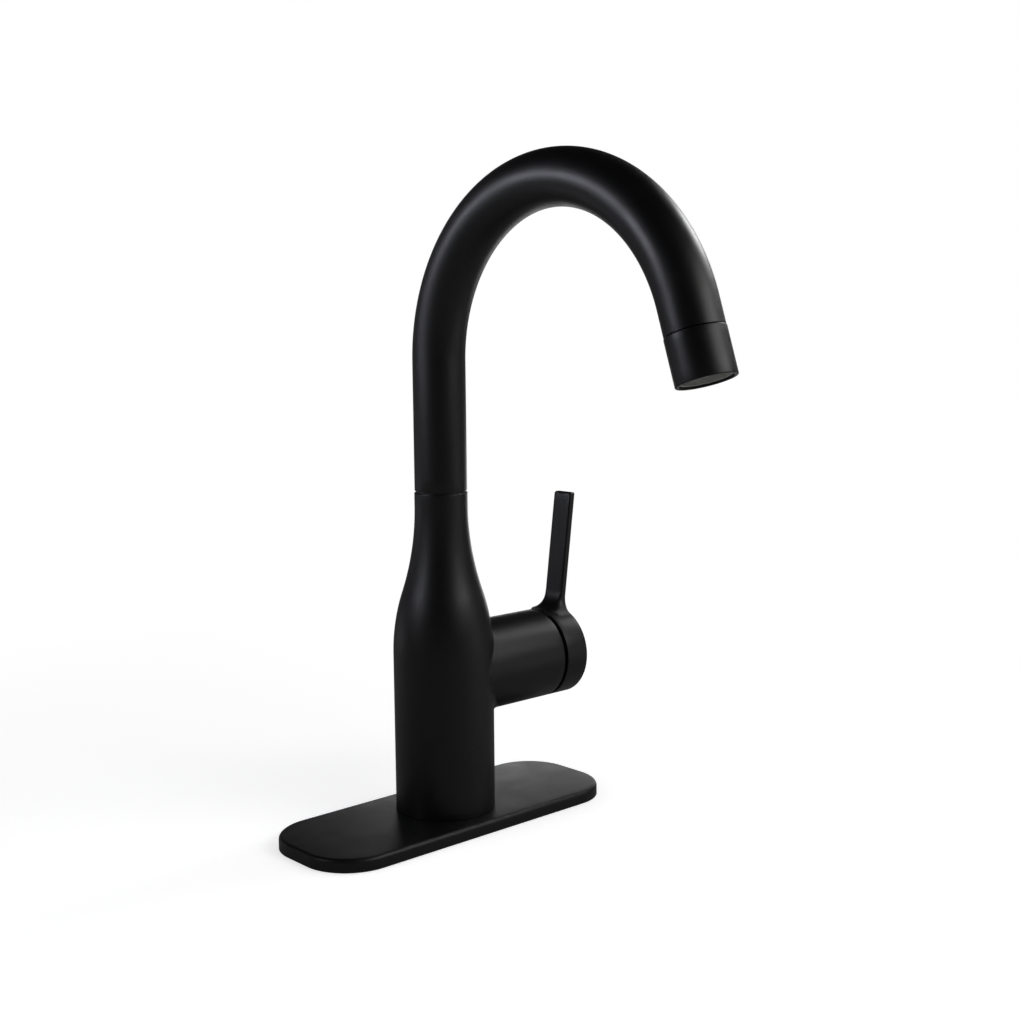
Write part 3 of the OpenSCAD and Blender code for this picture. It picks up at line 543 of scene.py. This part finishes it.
def makeBody():
    b = bodyShape
    e = b["edge"]
    profile = [(0, b["socketRoof"]), (b["socket"], b["socketRoof"]), (b["socket"], b["foot"])]
    profile += arc((b["radius"] - e / 2, b["foot"] + e / 2), e / 2, -90, 0, 3)
    profile += [(b["radius"], z) for z in rows(b["foot"] + e, b["shoulder"], wallStep)]
    profile += [(bodyRadius(z), z)
                for z in rows(b["shoulder"] - b["curveLead"], b["seam"] - e, b["curveStep"])]
    profile += arc((b["neck"] - e, b["seam"] - e), e, 0, 90)
    profile += [(b["neckBore"], b["seam"]), (b["neckBore"], b["boreFloor"]), (0, b["boreFloor"])]
    body = turned("faucetBody", profile, steps=b["around"])

    profile = [(0, b["bossStart"]), (b["bossRadius"], b["bossStart"])]
    profile += [(b["bossRadius"], x) for x in rows(b["bossStart"], b["bossEnd"] - e, wallStep)]
    profile += arc((b["bossRadius"] - e, b["bossEnd"] - e), e, 0, 90)
    profile += [(0, b["bossEnd"])]
    boss = turned("sideBoss", profile, steps=b["around"], axis="X", height=bossHeight)

    mouthEnd = b["bossEnd"] + e
    profile = [(0, b["cartridgeFloor"]), (b["cartridge"], b["cartridgeFloor"]),
               (b["cartridge"], b["mouthFloor"]), (b["mouth"], b["mouthFloor"]),
               (b["mouth"], b["bossEnd"] - e), (b["mouth"] + 2 * e, mouthEnd), (0, mouthEnd)]
    bore = turned("bossBore", profile, steps=b["boreAround"], axis="X", height=bossHeight)
    combine(body, boss, "UNION")
    combine(body, bore, "DIFFERENCE")
    joinTo(body, makeFillet())
    return body


faucetBody = makeBody()
dress(faucetBody, finishes["powder_coat"], "faucet", "powder_coat", "faucet_body")
print("body made")


# gooseneck

spoutShape = dict(radius=11.88 * mm, wall=1.5 * mm, start=153.35 * mm, bendHeight=211.4 * mm,
                  bendRadius=74.8 * mm, bendDegrees=162.0, tail=10.6 * mm,
                  edge=0.35 * mm, edgeRise=0.3, edgeSpread=0.72,
                  around=128, bendSteps=120, straightStep=6 * mm)
bendTurn = math.radians(spoutShape["bendDegrees"])
flow = Vector((0, -math.sin(bendTurn), math.cos(bendTurn)))
bendEnd = Vector((0, -spoutShape["bendRadius"] * (1 - math.cos(bendTurn)),
                  spoutShape["bendHeight"] + spoutShape["bendRadius"] * math.sin(bendTurn)))
tipPoint = bendEnd + flow * spoutShape["tail"]
tipPlace = Matrix.Translation(tipPoint) @ Matrix.Rotation(bendTurn, 4, "X")


def makeGooseneck():
    s = spoutShape
    deselectAll()
    bpy.ops.mesh.primitive_circle_add(vertices=s["around"], radius=s["radius"] - s["edge"],
                                      location=(0, 0, s["start"]))
    piece = named("gooseneckTube")
    applyPlace(piece)
    startEditing(piece)
    # the lower edge is rounded in two steps
    wide = s["radius"] / (s["radius"] - s["edge"])
    partWide = 1 + (wide - 1) * s["edgeSpread"]
    for rise, grown in ((s["edgeRise"], partWide), (1 - s["edgeRise"], wide / partWide)):
        extrudeBy((0, 0, s["edge"] * rise))
        bpy.ops.transform.resize(value=(grown, grown, 1))
    height = s["start"] + s["edge"]
    for z in rows(height, s["bendHeight"], s["straightStep"]) + [s["bendHeight"]]:
        extrudeBy((0, 0, z - height))
        height = z
    bpy.ops.mesh.spin(steps=s["bendSteps"], angle=-bendTurn,
                      center=(0, -s["bendRadius"], s["bendHeight"]), axis=(1, 0, 0))
    for _ in range(2):
        extrudeBy(flow * s["tail"] / 2)
    stopEditing()
    mergeAndPointOut(piece)
    useModifier(piece, "SOLIDIFY", thickness=s["wall"], offset=-1, use_even_offset=True)
    return piece


gooseneckTube = makeGooseneck()
dress(gooseneckTube, finishes["powder_coat"], "spout", "powder_coat", "gooseneck_tube")
print("gooseneck made, tip at", [round(x, 4) for x in tipPoint])


# tip: sleeve and aerator

tipShape = dict(gap=0.3 * mm, length=19.3 * mm, radius=12.07 * mm, edge=0.4 * mm,
                thread=10.1 * mm, shelf=9.3 * mm, bore=10.5 * mm, lipTop=0.03 * mm, lip=0.25 * mm)
aeratorShape = dict(radius=10.4 * mm, recess=0.9 * mm, height=7.5 * mm, rim=1.3 * mm,
                    edge=0.25 * mm, around=96, cell=1.5 * mm, cellWall=0.32 * mm,
                    cellDepth=2.6 * mm, cellDrop=0.35 * mm, margin=0.2, mergeGap=0.02 * mm)


def placeAtTip(piece):
    piece.matrix_world = tipPlace @ piece.matrix_world
    applyPlace(piece)


def makeSleeve():
    t = tipShape
    e, lip = t["edge"], t["thread"] + t["lip"]
    # the lip hides the brass insert behind the seam
    profile = [(t["thread"], t["lipTop"]), (lip, t["lipTop"]), (lip, t["gap"])]
    profile += arc((t["radius"] - e, t["gap"] + e), e, -90, 0)
    profile += [(t["radius"], s) for s in rows(t["gap"] + e, t["length"] - e, wallStep)]
    profile += arc((t["radius"] - e, t["length"] - e), e, 0, 90)
    profile += arc((t["bore"] + e, t["length"] - e), e, 90, 180, 3)
    profile += [(t["bore"], t["shelf"]), (t["thread"], t["shelf"]), (t["thread"], t["lipTop"])]
    piece = turned("aeratorSleeve", profile)
    placeAtTip(piece)
    return piece


def makeAerator():
    # a ring round a honeycomb of small cells
    a = aeratorShape
    e = a["edge"]
    top = tipShape["length"] - a["recess"] - a["height"]
    face = top + a["height"]
    inner = a["radius"] - a["rim"]
    profile = [(inner, top)] + arc((a["radius"] - e, top + e), e, -90, 0, 2)
    profile += arc((a["radius"] - e, face - e), e, 0, 90, 3)
    profile += arc((inner + e, face - e), e, 90, 180, 3) + [(inner, top)]
    ring = turned("aeratorInsert", profile, steps=a["around"])
    pitch = a["cell"] + a["cellWall"]
    cells = []
    reach = int(inner / pitch) + 1
    for row in range(-reach, reach + 1):
        for column in range(-reach, reach + 1):
            x, y = pitch * (column + row / 2), pitch * row * math.sin(math.radians(60))
            if math.hypot(x, y) > inner - pitch * a["margin"]:
                continue
            deselectAll()
            bpy.ops.mesh.primitive_circle_add(
                vertices=6, radius=pitch / 2 / math.cos(hexTurn), fill_type="NGON",
                location=(x, y, face - a["cellDrop"]), rotation=(0, 0, hexTurn))
            cells.append(bpy.context.object)
    comb = cells[0]
    comb.name = "honeycomb"
    joinTo(comb, *cells[1:])
    applyPlace(comb)
    startEditing(comb)
    bpy.ops.mesh.remove_doubles(threshold=a["mergeGap"])
    bpy.ops.mesh.inset(thickness=a["cellWall"] / 2, use_individual=True)
    bpy.ops.mesh.delete(type="FACE")
    bpy.ops.mesh.select_all(action="SELECT")
    extrudeBy((0, 0, -a["cellDepth"]))
    stopEditing()
    mergeAndPointOut(comb)
    joinTo(ring, comb)
    placeAtTip(ring)
    return ring


aeratorSleeve = makeSleeve()
dress(aeratorSleeve, finishes["powder_coat"], "spout", "powder_coat", "aerator_housing")
aeratorInsert = makeAerator()
dress(aeratorInsert, finishes["grey_plastic"], "spout", "grey_plastic", "aerator_face")
print("tip made")


# handle

handleShape = dict(
    start=59.5 * mm, length=12.8 * mm, radius=21.1 * mm, wall=2 * mm, endWall=3.3 * mm,
    edge=0.4 * mm, mouthEdge=0.6 * mm, neck=5.5 * mm, neckStart=61.5 * mm, stem=4.1 * mm,
    width=11.6 * mm, thickness=3.5 * mm, height=77 * mm, leanDegrees=7.6, sideBlend=10 * mm,
    bladeEdge=1.1 * mm, footRound=4.5 * mm, endStep=4 * mm, around=160,
    screwPlace=65.8 * mm, screwHole=2.5 * mm, screwBoss=3.1 * mm, screwAround=48,
    bossIntoNeck=0.8 * mm, bossIntoWall=0.6 * mm, holeIntoStem=1 * mm, holePastWall=2 * mm,
)
bladeMesh = dict(sunk=3 * mm, footStep=0.5 * mm, fineStep=0.25 * mm, fineReach=4 * mm,
                 straightLead=1 * mm, straightStep=4 * mm, topSteps=5, cornerSteps=8, sideSteps=5,
                 mouthGap=0.15 * mm, endGap=0.02 * mm, endReach=0.3 * mm, leastRound=0.05 * mm)


def roundedSection(low, high, half, innerRound, outerRound, z):
    # seen from above: x from low to high, y from -half to half
    steps = bladeMesh["sideSteps"]
    corners = ((high - outerRound, half - outerRound, outerRound, 0),
               (low + innerRound, half - innerRound, innerRound, 90),
               (low + innerRound, -(half - innerRound), innerRound, 180),
               (high - outerRound, -(half - outerRound), outerRound, 270))
    arcs = [arc((x, y), radius, start, start + 90, bladeMesh["cornerSteps"])
            for x, y, radius, start in corners]
    outline = []
    for corner, after in zip(arcs, arcs[1:] + arcs[:1]):
        (x, y), (nextX, nextY) = corner[-1], after[0]
        outline += corner
        outline += [(x + (nextX - x) * k / steps, y + (nextY - y) * k / steps)
                    for k in range(1, steps)]
    return [(x, y, z) for x, y in outline]


def makeBlade():
    h, m = handleShape, bladeMesh
    lean = math.radians(h["leanDegrees"])
    foot = h["radius"] - h["edge"]
    end = h["start"] + h["length"]
    footRadius = (h["length"] - h["thickness"]) * math.cos(lean) / (1 - math.sin(lean))
    footTop = foot + footRadius * (1 - math.sin(lean))
    half = h["width"] / 2
    blendY = half + h["sideBlend"]
    blendZ = math.sqrt((h["radius"] + h["sideBlend"]) ** 2 - blendY ** 2)
    blendFoot = blendZ * h["radius"] / (h["radius"] + h["sideBlend"])

    def section(z, shrink=0.0):
        outer = end + max(0.0, z - foot) * math.tan(lean)
        inner = outer - h["thickness"]
        if z < footTop:
            drop = foot + footRadius - max(z, foot)
            inner = h["start"] + math.sqrt(max(0.0, footRadius ** 2 - drop ** 2))
        wide = half
        if z < blendZ:
            wide = blendY - math.sqrt(h["sideBlend"] ** 2 - (blendZ - max(z, blendFoot)) ** 2)
        flare = min(1.0, max(0.0, (footTop - z) / (footTop - foot)))
        innerRound = h["bladeEdge"] + h["footRound"] * flare ** 2
        inner = max(inner, h["start"] + m["mouthGap"])
        outer = min(outer, end - m["endGap"]) if z < foot + m["endReach"] else outer
        return roundedSection(inner + shrink, outer - shrink, wide - shrink,
                              max(innerRound - shrink, m["leastRound"]),
                              max(h["bladeEdge"] - shrink, m["leastRound"]), bossHeight + z)

    fineTop, straight = foot + m["fineReach"], footTop + m["straightLead"]
    levels = [blendFoot - m["sunk"], blendFoot]
    levels += rows(blendFoot, foot, m["footStep"]) + [foot] + rows(foot, fineTop, m["fineStep"])
    levels += rows(fineTop, footTop, m["footStep"]) + [footTop, straight]
    levels += rows(straight, h["height"] - h["bladeEdge"], m["straightStep"])
    rings = [section(z) for z in levels]
    b = h["bladeEdge"]
    for k in range(m["topSteps"] + 1):
        a = math.radians(90 * k / m["topSteps"])
        rings.append(section(h["height"] - b + b * math.sin(a), b * (1 - math.cos(a))))
    return loft("leverBlade", rings)


def sidewaysRod(name, radius, start, stop):
    # a rod along y, at the set screw's place
    h = handleShape
    deselectAll()
    bpy.ops.mesh.primitive_cylinder_add(
        vertices=h["screwAround"], radius=radius, depth=stop - start,
        location=(h["screwPlace"], (start + stop) / 2, bossHeight), rotation=(math.pi / 2, 0, 0))
    rod = named(name)
    applyPlace(rod)
    return rod


def makeLever():
    h = handleShape
    e = h["edge"]
    blade = makeBlade()
    end = h["start"] + h["length"]
    inner = h["radius"] - h["wall"]
    innerEnd = end - h["endWall"]
    profile = [(0, end)]
    profile += [(r, end) for r in rows(0, h["radius"] - e, h["endStep"])]
    profile += arc((h["radius"] - e, end - e), e, 90, 0)
    profile += [(h["radius"], x) for x in rows(end - e, h["start"] + e, wallStep)]
    profile += arc((h["radius"] - e, h["start"] + e), e, 0, -90)
    profile += [(inner + h["mouthEdge"], h["start"]), (inner, h["start"] + h["mouthEdge"]),
                (inner, innerEnd), (h["neck"], innerEnd), (h["neck"], h["neckStart"]),
                (h["stem"], h["neckStart"]), (h["stem"], innerEnd), (0, innerEnd)]
    hub = turned("leverHandle", profile, steps=h["around"], axis="X", height=bossHeight)
    # the screw's boss from the neck to the wall, and its hole from the stem out
    boss = sidewaysRod("screwBoss", h["screwBoss"], h["neck"] - h["bossIntoNeck"],
                       inner + h["bossIntoWall"])
    combine(hub, boss, "UNION")
    hole = sidewaysRod("screwHole", h["screwHole"], h["stem"] - h["holeIntoStem"],
                       h["radius"] + h["holePastWall"])
    combine(hub, hole, "DIFFERENCE")
    joinTo(hub, blade)
    return hub


leverHandle = makeLever()
dress(leverHandle, finishes["powder_coat"], "handle", "powder_coat", "lever_handle")
print("handle made")


# deck plate

plateShape = dict(length=165 * mm, width=61 * mm, corner=23 * mm, foot=0.2 * mm, top=6 * mm,
                  edge=1.8 * mm, rim=2.4 * mm, roof=3.4 * mm, cornerSteps=32, edgeSteps=10,
                  hole=17.2 * mm, holeDepth=20 * mm, holeAround=128,
                  uprightRise=1 * mm, topSlack=0.01 * mm, facingDown=-0.9)


def makePlate():
    p = plateShape
    deselectAll()
    bpy.ops.mesh.primitive_cube_add(size=1, location=(0, 0, (p["foot"] + p["top"]) / 2),
                                    scale=(p["length"], p["width"], p["top"] - p["foot"]))
    piece = named("deckPlate")
    applyPlace(piece)

    def isUpright(edge):
        start, end = endsOf(piece, edge)
        return abs(start.z - end.z) > p["uprightRise"]

    def isOnTop(edge):
        return min(end.z for end in endsOf(piece, edge)) > p["top"] - p["topSlack"]

    selectWhere(piece, "edges", isUpright)
    bpy.ops.mesh.bevel(offset=p["corner"], segments=p["cornerSteps"], affect="EDGES")
    stopEditing()
    selectWhere(piece, "edges", isOnTop)
    bpy.ops.mesh.bevel(offset=p["edge"], segments=p["edgeSteps"], affect="EDGES")
    stopEditing()
    selectWhere(piece, "polygons", lambda face: face.normal.z < p["facingDown"])
    bpy.ops.mesh.inset(thickness=p["rim"])
    extrudeBy((0, 0, p["roof"] - p["foot"]))
    stopEditing()
    deselectAll()
    bpy.ops.mesh.primitive_cylinder_add(vertices=p["holeAround"], radius=p["hole"],
                                        depth=p["holeDepth"])
    hole = named("plateHole")
    combine(piece, hole, "DIFFERENCE")
    return piece


deckPlate = makePlate()
dress(deckPlate, finishes["powder_coat"], "faucet", "powder_coat", "deck_plate", smooth=25)
print("deck plate made")


# shank, nut and washers under the deck

shankShape = dict(thread=15.9 * mm, root=15.1 * mm, pitch=1.5 * mm, bottom=-52 * mm,
                  collarEnd=-6 * mm, collar=16.8 * mm, neck=16.4 * mm, neckTop=5.7 * mm,
                  top=22 * mm, bore=13 * mm, edge=0.5 * mm, around=96, threadAround=72,
                  # the tooth's corners; the last four are shares of the pitch
                  toothSunk=0.3 * mm, toothFoot=0.02 * mm, footStart=0.05 * mm,
                  crestStart=0.45, crestEnd=0.6, footEnd=0.97, toothEnd=0.99)
washerShape = dict(hole=16.2 * mm, rubberTop=-20 * mm, rubber=27 * mm, rubberHeight=3.5 * mm,
                   rubberEdge=0.6 * mm, steel=25 * mm, steelHeight=2 * mm, steelEdge=0.3 * mm,
                   around=96)
nutShape = dict(flats=41 * mm, height=11 * mm, hole=16 * mm, edge=0.4 * mm, edgeSteps=3,
                outerShare=0.62, flatInset=0.3 * mm, slopeOut=3 * mm, slopeUp=1.5 * mm,
                around=96, over=1 * mm, slopeLead=0.1 * mm)
rubberBottom = washerShape["rubberTop"] - washerShape["rubberHeight"]
steelBottom = rubberBottom - washerShape["steelHeight"]


def makeShank():
    c = shankShape
    e, root, pitch = c["edge"], c["root"], c["pitch"]
    profile = [(c["bore"], c["bottom"]), (root - e, c["bottom"]), (root, c["bottom"] + e),
               (root, c["collarEnd"])]
    profile += arc((c["collar"] - e, c["collarEnd"] + e), e, -90, 0, 3)
    profile += [(c["collar"], 0), (c["neck"], 0), (c["neck"], c["neckTop"]),
                (c["thread"], c["neckTop"]), (c["thread"], c["top"]),
                (c["bore"], c["top"]), (c["bore"], c["bottom"])]
    core = turned("threadedShank", profile, steps=c["around"])
    # one tooth, sunk into the core, swept up as a screw
    low, foot, crest = root - c["toothSunk"], root + c["toothFoot"], c["thread"]
    tooth = [(low, 0), (foot, c["footStart"]), (crest, c["crestStart"] * pitch),
             (crest, c["crestEnd"] * pitch), (foot, c["footEnd"] * pitch),
             (low, c["toothEnd"] * pitch), (low, 0)]
    start = c["bottom"] + e
    thread = drawLine("shankThread", [(r, 0, start + z) for r, z in tooth])
    applyPlace(thread)
    turns = int((c["collarEnd"] - start) / pitch) - 1
    useModifier(thread, "SCREW", angle=fullTurn, screw_offset=pitch, iterations=turns,
                steps=c["threadAround"], render_steps=c["threadAround"],
                use_merge_vertices=True, merge_threshold=mergeGap)
    startEditing(thread)
    bpy.ops.mesh.remove_doubles(threshold=mergeGap)
    bpy.ops.mesh.fill_holes(sides=8)
    bpy.ops.mesh.normals_make_consistent(inside=False)
    stopEditing()
    joinTo(core, thread)
    return core


def makeWasher(name, radius, top, height, edge):
    low, hole = top - height, washerShape["hole"]
    profile = arc((radius - edge, low + edge), edge, -90, 0, 3)
    profile += arc((radius - edge, top - edge), edge, 0, 90, 3)
    profile += arc((hole + edge, top - edge), edge, 90, 180, 3)
    profile += arc((hole + edge, low + edge), edge, 180, 270, 3)
    return turned(name, profile + profile[:1], steps=washerShape["around"])


def makeNut():
    n = nutShape
    top, height, over = steelBottom, n["height"], n["over"]
    deselectAll()
    bpy.ops.mesh.primitive_cylinder_add(
        vertices=6, radius=n["flats"] / 2 / math.cos(hexTurn), depth=height,
        location=(0, 0, top - height / 2), rotation=(0, 0, hexTurn))
    nut = named("mountingNut")
    applyPlace(nut)
    useModifier(nut, "BEVEL", width=n["edge"], segments=n["edgeSteps"], limit_method="ANGLE")
    # the turned chamfer that takes the corners off
    low, wide, flat = top - height, n["flats"] * n["outerShare"], n["flats"] / 2 - n["flatInset"]
    start, slopeTop = low - n["slopeLead"], low + n["slopeUp"]
    cone = turned("nutChamfer", [(0, start), (flat, start), (flat + n["slopeOut"], slopeTop),
                                 (wide, slopeTop), (wide, top + over), (0, top + over)],
                  steps=n["around"])
    combine(nut, cone, "INTERSECT")
    e, inside = n["edge"], n["hole"]
    hole = turned("nutHole", [(0, low - over), (inside + over + e, low - over), (inside + e, low),
                              (inside, low + e), (inside, top + over), (0, top + over)],
                  steps=n["around"])
    combine(nut, hole, "DIFFERENCE")
    return nut


threadedShank = makeShank()
dress(threadedShank, finishes["brass"], "faucet", "brass", "mounting_shank")
rubberWasher = makeWasher("rubberWasher", washerShape["rubber"], washerShape["rubberTop"],
                          washerShape["rubberHeight"], washerShape["rubberEdge"])
dress(rubberWasher, finishes["rubber"], "deck_clamp", "rubber", "rubber_deck_washer")
steelWasher = makeWasher("steelWasher", washerShape["steel"], rubberBottom,
                         washerShape["steelHeight"], washerShape["steelEdge"])
dress(steelWasher, finishes["steel"], "deck_clamp", "steel", "steel_deck_washer")
mountingNut = makeNut()
dress(mountingNut, finishes["brass"], "deck_clamp", "brass", "mounting_nut")
print("clamp made")


# floor, room and lamps

studio = dict(
    floorSize=24.0, floorTone=0.82, mirroredTone=0.26, floorLift=0.54, fadeStart=0.12, fadeEnd=0.5,
    behindLevel=0.15, frontLevel=0.002, fillLevel=0.4, underLevel=0.7,
    wallStart=0.3, wallTop=0.15, ceilingStart=0.6, underStart=-0.3,
)
lamps = {
    # azimuth is counted from the camera's side, positive to the picture's right
    "leftSoftbox": dict(azimuth=-82, reach=0.52, height=0.365, aim=0.27, width=0.27, tall=0.12,
                        watts=0.086, spread=42, colour=(0.86, 0.87, 1.0)),
    "shoulderSoftbox": dict(azimuth=-62, reach=0.6, height=0.34, aim=0.08, width=0.15, tall=0.15,
                            watts=0.044, spread=60, colour=(0.9, 0.91, 1.0)),
    "edgeCard": dict(azimuth=-110, reach=0.5, height=0.05, aim=0.05, width=0.25, tall=0.12,
                     watts=0.05, colour=(0.9, 0.91, 1.0)),
    "rightSoftbox": dict(azimuth=66, reach=0.65, height=0.47, aim=0.15, width=0.5, tall=0.26,
                         watts=1.5, colour=(1.0, 1.0, 0.99)),
    "rimSoftbox": dict(azimuth=125, reach=0.65, height=0.58, aim=0.25, ahead=0.15, width=0.2,
                       tall=0.2, watts=0.17, spread=50, colour=(1.0, 1.0, 1.0)),
    "sideCard": dict(azimuth=82, reach=0.5, height=0.06, aim=0.06, width=0.3, tall=0.12,
                     watts=0.06, colour=(1.0, 1.0, 1.0)),
    "backCard": dict(azimuth=168, reach=0.5, height=0.075, aim=0.0, width=0.42, tall=0.12,
                     watts=0.3, colour=(1.0, 1.0, 1.0)),
}


def mixShaders(tree, factor, first, second):
    node = tree.nodes.new("ShaderNodeMixShader")
    for socket, source in zip(node.inputs, (factor, first, second)):
        tree.links.new(source, socket)
    return node.outputs[0]


def makeFloor():
    deselectAll()
    bpy.ops.mesh.primitive_plane_add(size=studio["floorSize"])
    floor = named("floor")
    finish = bpy.data.materials.new("paleFloor")
    finish.use_nodes = True
    tree = finish.node_tree
    tree.nodes.clear()
    white, tone, mirrored = (1, 1, 1, 1), studio["floorTone"], studio["mirroredTone"]
    paper = addNode(tree, "ShaderNodeBsdfDiffuse", Color=(tone, tone, tone, 1))
    darker = addNode(tree, "ShaderNodeBsdfDiffuse", Color=(mirrored, mirrored, mirrored, 1))
    glow = addNode(tree, "ShaderNodeEmission", Color=white, Strength=studio["floorLift"])
    bright = addNode(tree, "ShaderNodeEmission", Color=white, Strength=1.0)
    pale = addNode(tree, "ShaderNodeEmission", Color=white, Strength=studio["underLevel"])
    clear = addNode(tree, "ShaderNodeBsdfTransparent")
    lit = addNode(tree, "ShaderNodeAddShader")
    tree.links.new(paper.outputs[0], lit.inputs[0])
    tree.links.new(glow.outputs[0], lit.inputs[1])
    path = tree.nodes.new("ShaderNodeLightPath")
    side = tree.nodes.new("ShaderNodeNewGeometry")
    # seen from above: lit paper near the object, plain white further out
    away = addNode(tree, "ShaderNodeMapRange", From_Min=studio["fadeStart"],
                   From_Max=studio["fadeEnd"])
    distance = addNode(tree, "ShaderNodeVectorMath", operation="LENGTH")
    tree.links.new(tree.nodes.new("ShaderNodeTexCoord").outputs["Object"], distance.inputs[0])
    tree.links.new(distance.outputs["Value"], away.inputs["Value"])
    seen = mixShaders(tree, away.outputs[0], lit.outputs[0], bright.outputs[0])
    # unseen: it lights the object as paper, and is darker in its gloss
    unseen = mixShaders(tree, path.outputs["Is Glossy Ray"], paper.outputs[0], darker.outputs[0])
    above = mixShaders(tree, path.outputs["Is Camera Ray"], unseen, seen)
    # from below it is clear, but pale in what hangs under it
    below = mixShaders(tree, path.outputs["Is Glossy Ray"], clear.outputs[0], pale.outputs[0])
    tree.links.new(mixShaders(tree, side.outputs["Backfacing"], above, below),
                   tree.nodes.new("ShaderNodeOutputMaterial").inputs[0])
    floor.data.materials.append(finish)


def towards(azimuth):
    # a level direction, counted from the camera's side
    a, turn = math.radians(cameraPlace["azimuth"]), math.radians(azimuth)
    camera, right = Vector((math.sin(a), -math.cos(a), 0)), Vector((math.cos(a), math.sin(a), 0))
    return math.cos(turn) * camera + math.sin(turn) * right


def makeRoom():
    # white where it is seen; in the paint, a pale wall behind and a dark room in front
    room = bpy.data.worlds.new("studioRoom")
    bpy.context.scene.world = room
    room.use_nodes = True
    tree = room.node_tree
    tree.nodes.clear()
    path = tree.nodes.new("ShaderNodeLightPath")
    view = tree.nodes.new("ShaderNodeTexCoord").outputs["Generated"]
    along = addNode(tree, "ShaderNodeVectorMath", operation="DOT_PRODUCT")
    tree.links.new(view, along.inputs[0])
    along.inputs[1].default_value = towards(180)
    height = tree.nodes.new("ShaderNodeSeparateXYZ")
    tree.links.new(view, height.inputs[0])
    wall = addNode(tree, "ShaderNodeMapRange", From_Min=studio["wallStart"], From_Max=1.0)
    tree.links.new(along.outputs["Value"], wall.inputs["Value"])
    low = addNode(tree, "ShaderNodeMapRange", From_Min=studio["wallTop"],
                  From_Max=studio["ceilingStart"], To_Min=1.0, To_Max=0.0)
    tree.links.new(height.outputs["Z"], low.inputs["Value"])
    wallShare = mathNode(tree, "MULTIPLY", wall.outputs[0], low.outputs[0])
    level = rangeOf(tree, wallShare, studio["frontLevel"], studio["behindLevel"])
    # the lower half is mirrored only by what hangs under the floor
    under = addNode(tree, "ShaderNodeMapRange", From_Min=studio["underStart"], From_Max=0.0,
                    To_Min=studio["underLevel"], To_Max=0.0)
    tree.links.new(height.outputs["Z"], under.inputs["Value"])
    backdrop, mirrored, fill = (
        addNode(tree, "ShaderNodeBackground", Color=(1, 1, 1, 1), Strength=strength)
        for strength in (1.0, 1.0, studio["fillLevel"]))
    tree.links.new(mathNode(tree, "MAXIMUM", level, under.outputs[0]), mirrored.inputs["Strength"])
    hidden = mixShaders(tree, path.outputs["Is Glossy Ray"], fill.outputs[0], mirrored.outputs[0])
    inSight = mathNode(tree, "MAXIMUM", path.outputs["Is Camera Ray"],
                       path.outputs["Is Transmission Ray"])
    tree.links.new(mixShaders(tree, inSight, hidden, backdrop.outputs[0]),
                   tree.nodes.new("ShaderNodeOutputWorld").inputs[0])


def makeLamp(name, azimuth, reach, height, aim, width, tall, watts, colour, ahead=0.0, spread=180):
    place = towards(azimuth) * reach + Vector((0, 0, height))
    deselectAll()
    bpy.ops.object.light_add(type="AREA", location=place)
    lamp = bpy.context.object
    lamp.name = name
    lamp.rotation_euler = (place - Vector((0, -ahead, aim))).to_track_quat("Z", "Y").to_euler()
    lamp.data.shape = "RECTANGLE"
    lamp.data.size, lamp.data.size_y = width, tall
    lamp.data.energy = watts
    lamp.data.spread = math.radians(spread)
    lamp.data.color = colour


makeFloor()
makeRoom()
for lampName, settings in lamps.items():
    makeLamp(lampName, **settings)
bpy.context.scene.view_settings.view_transform = "Standard"
print("studio made")
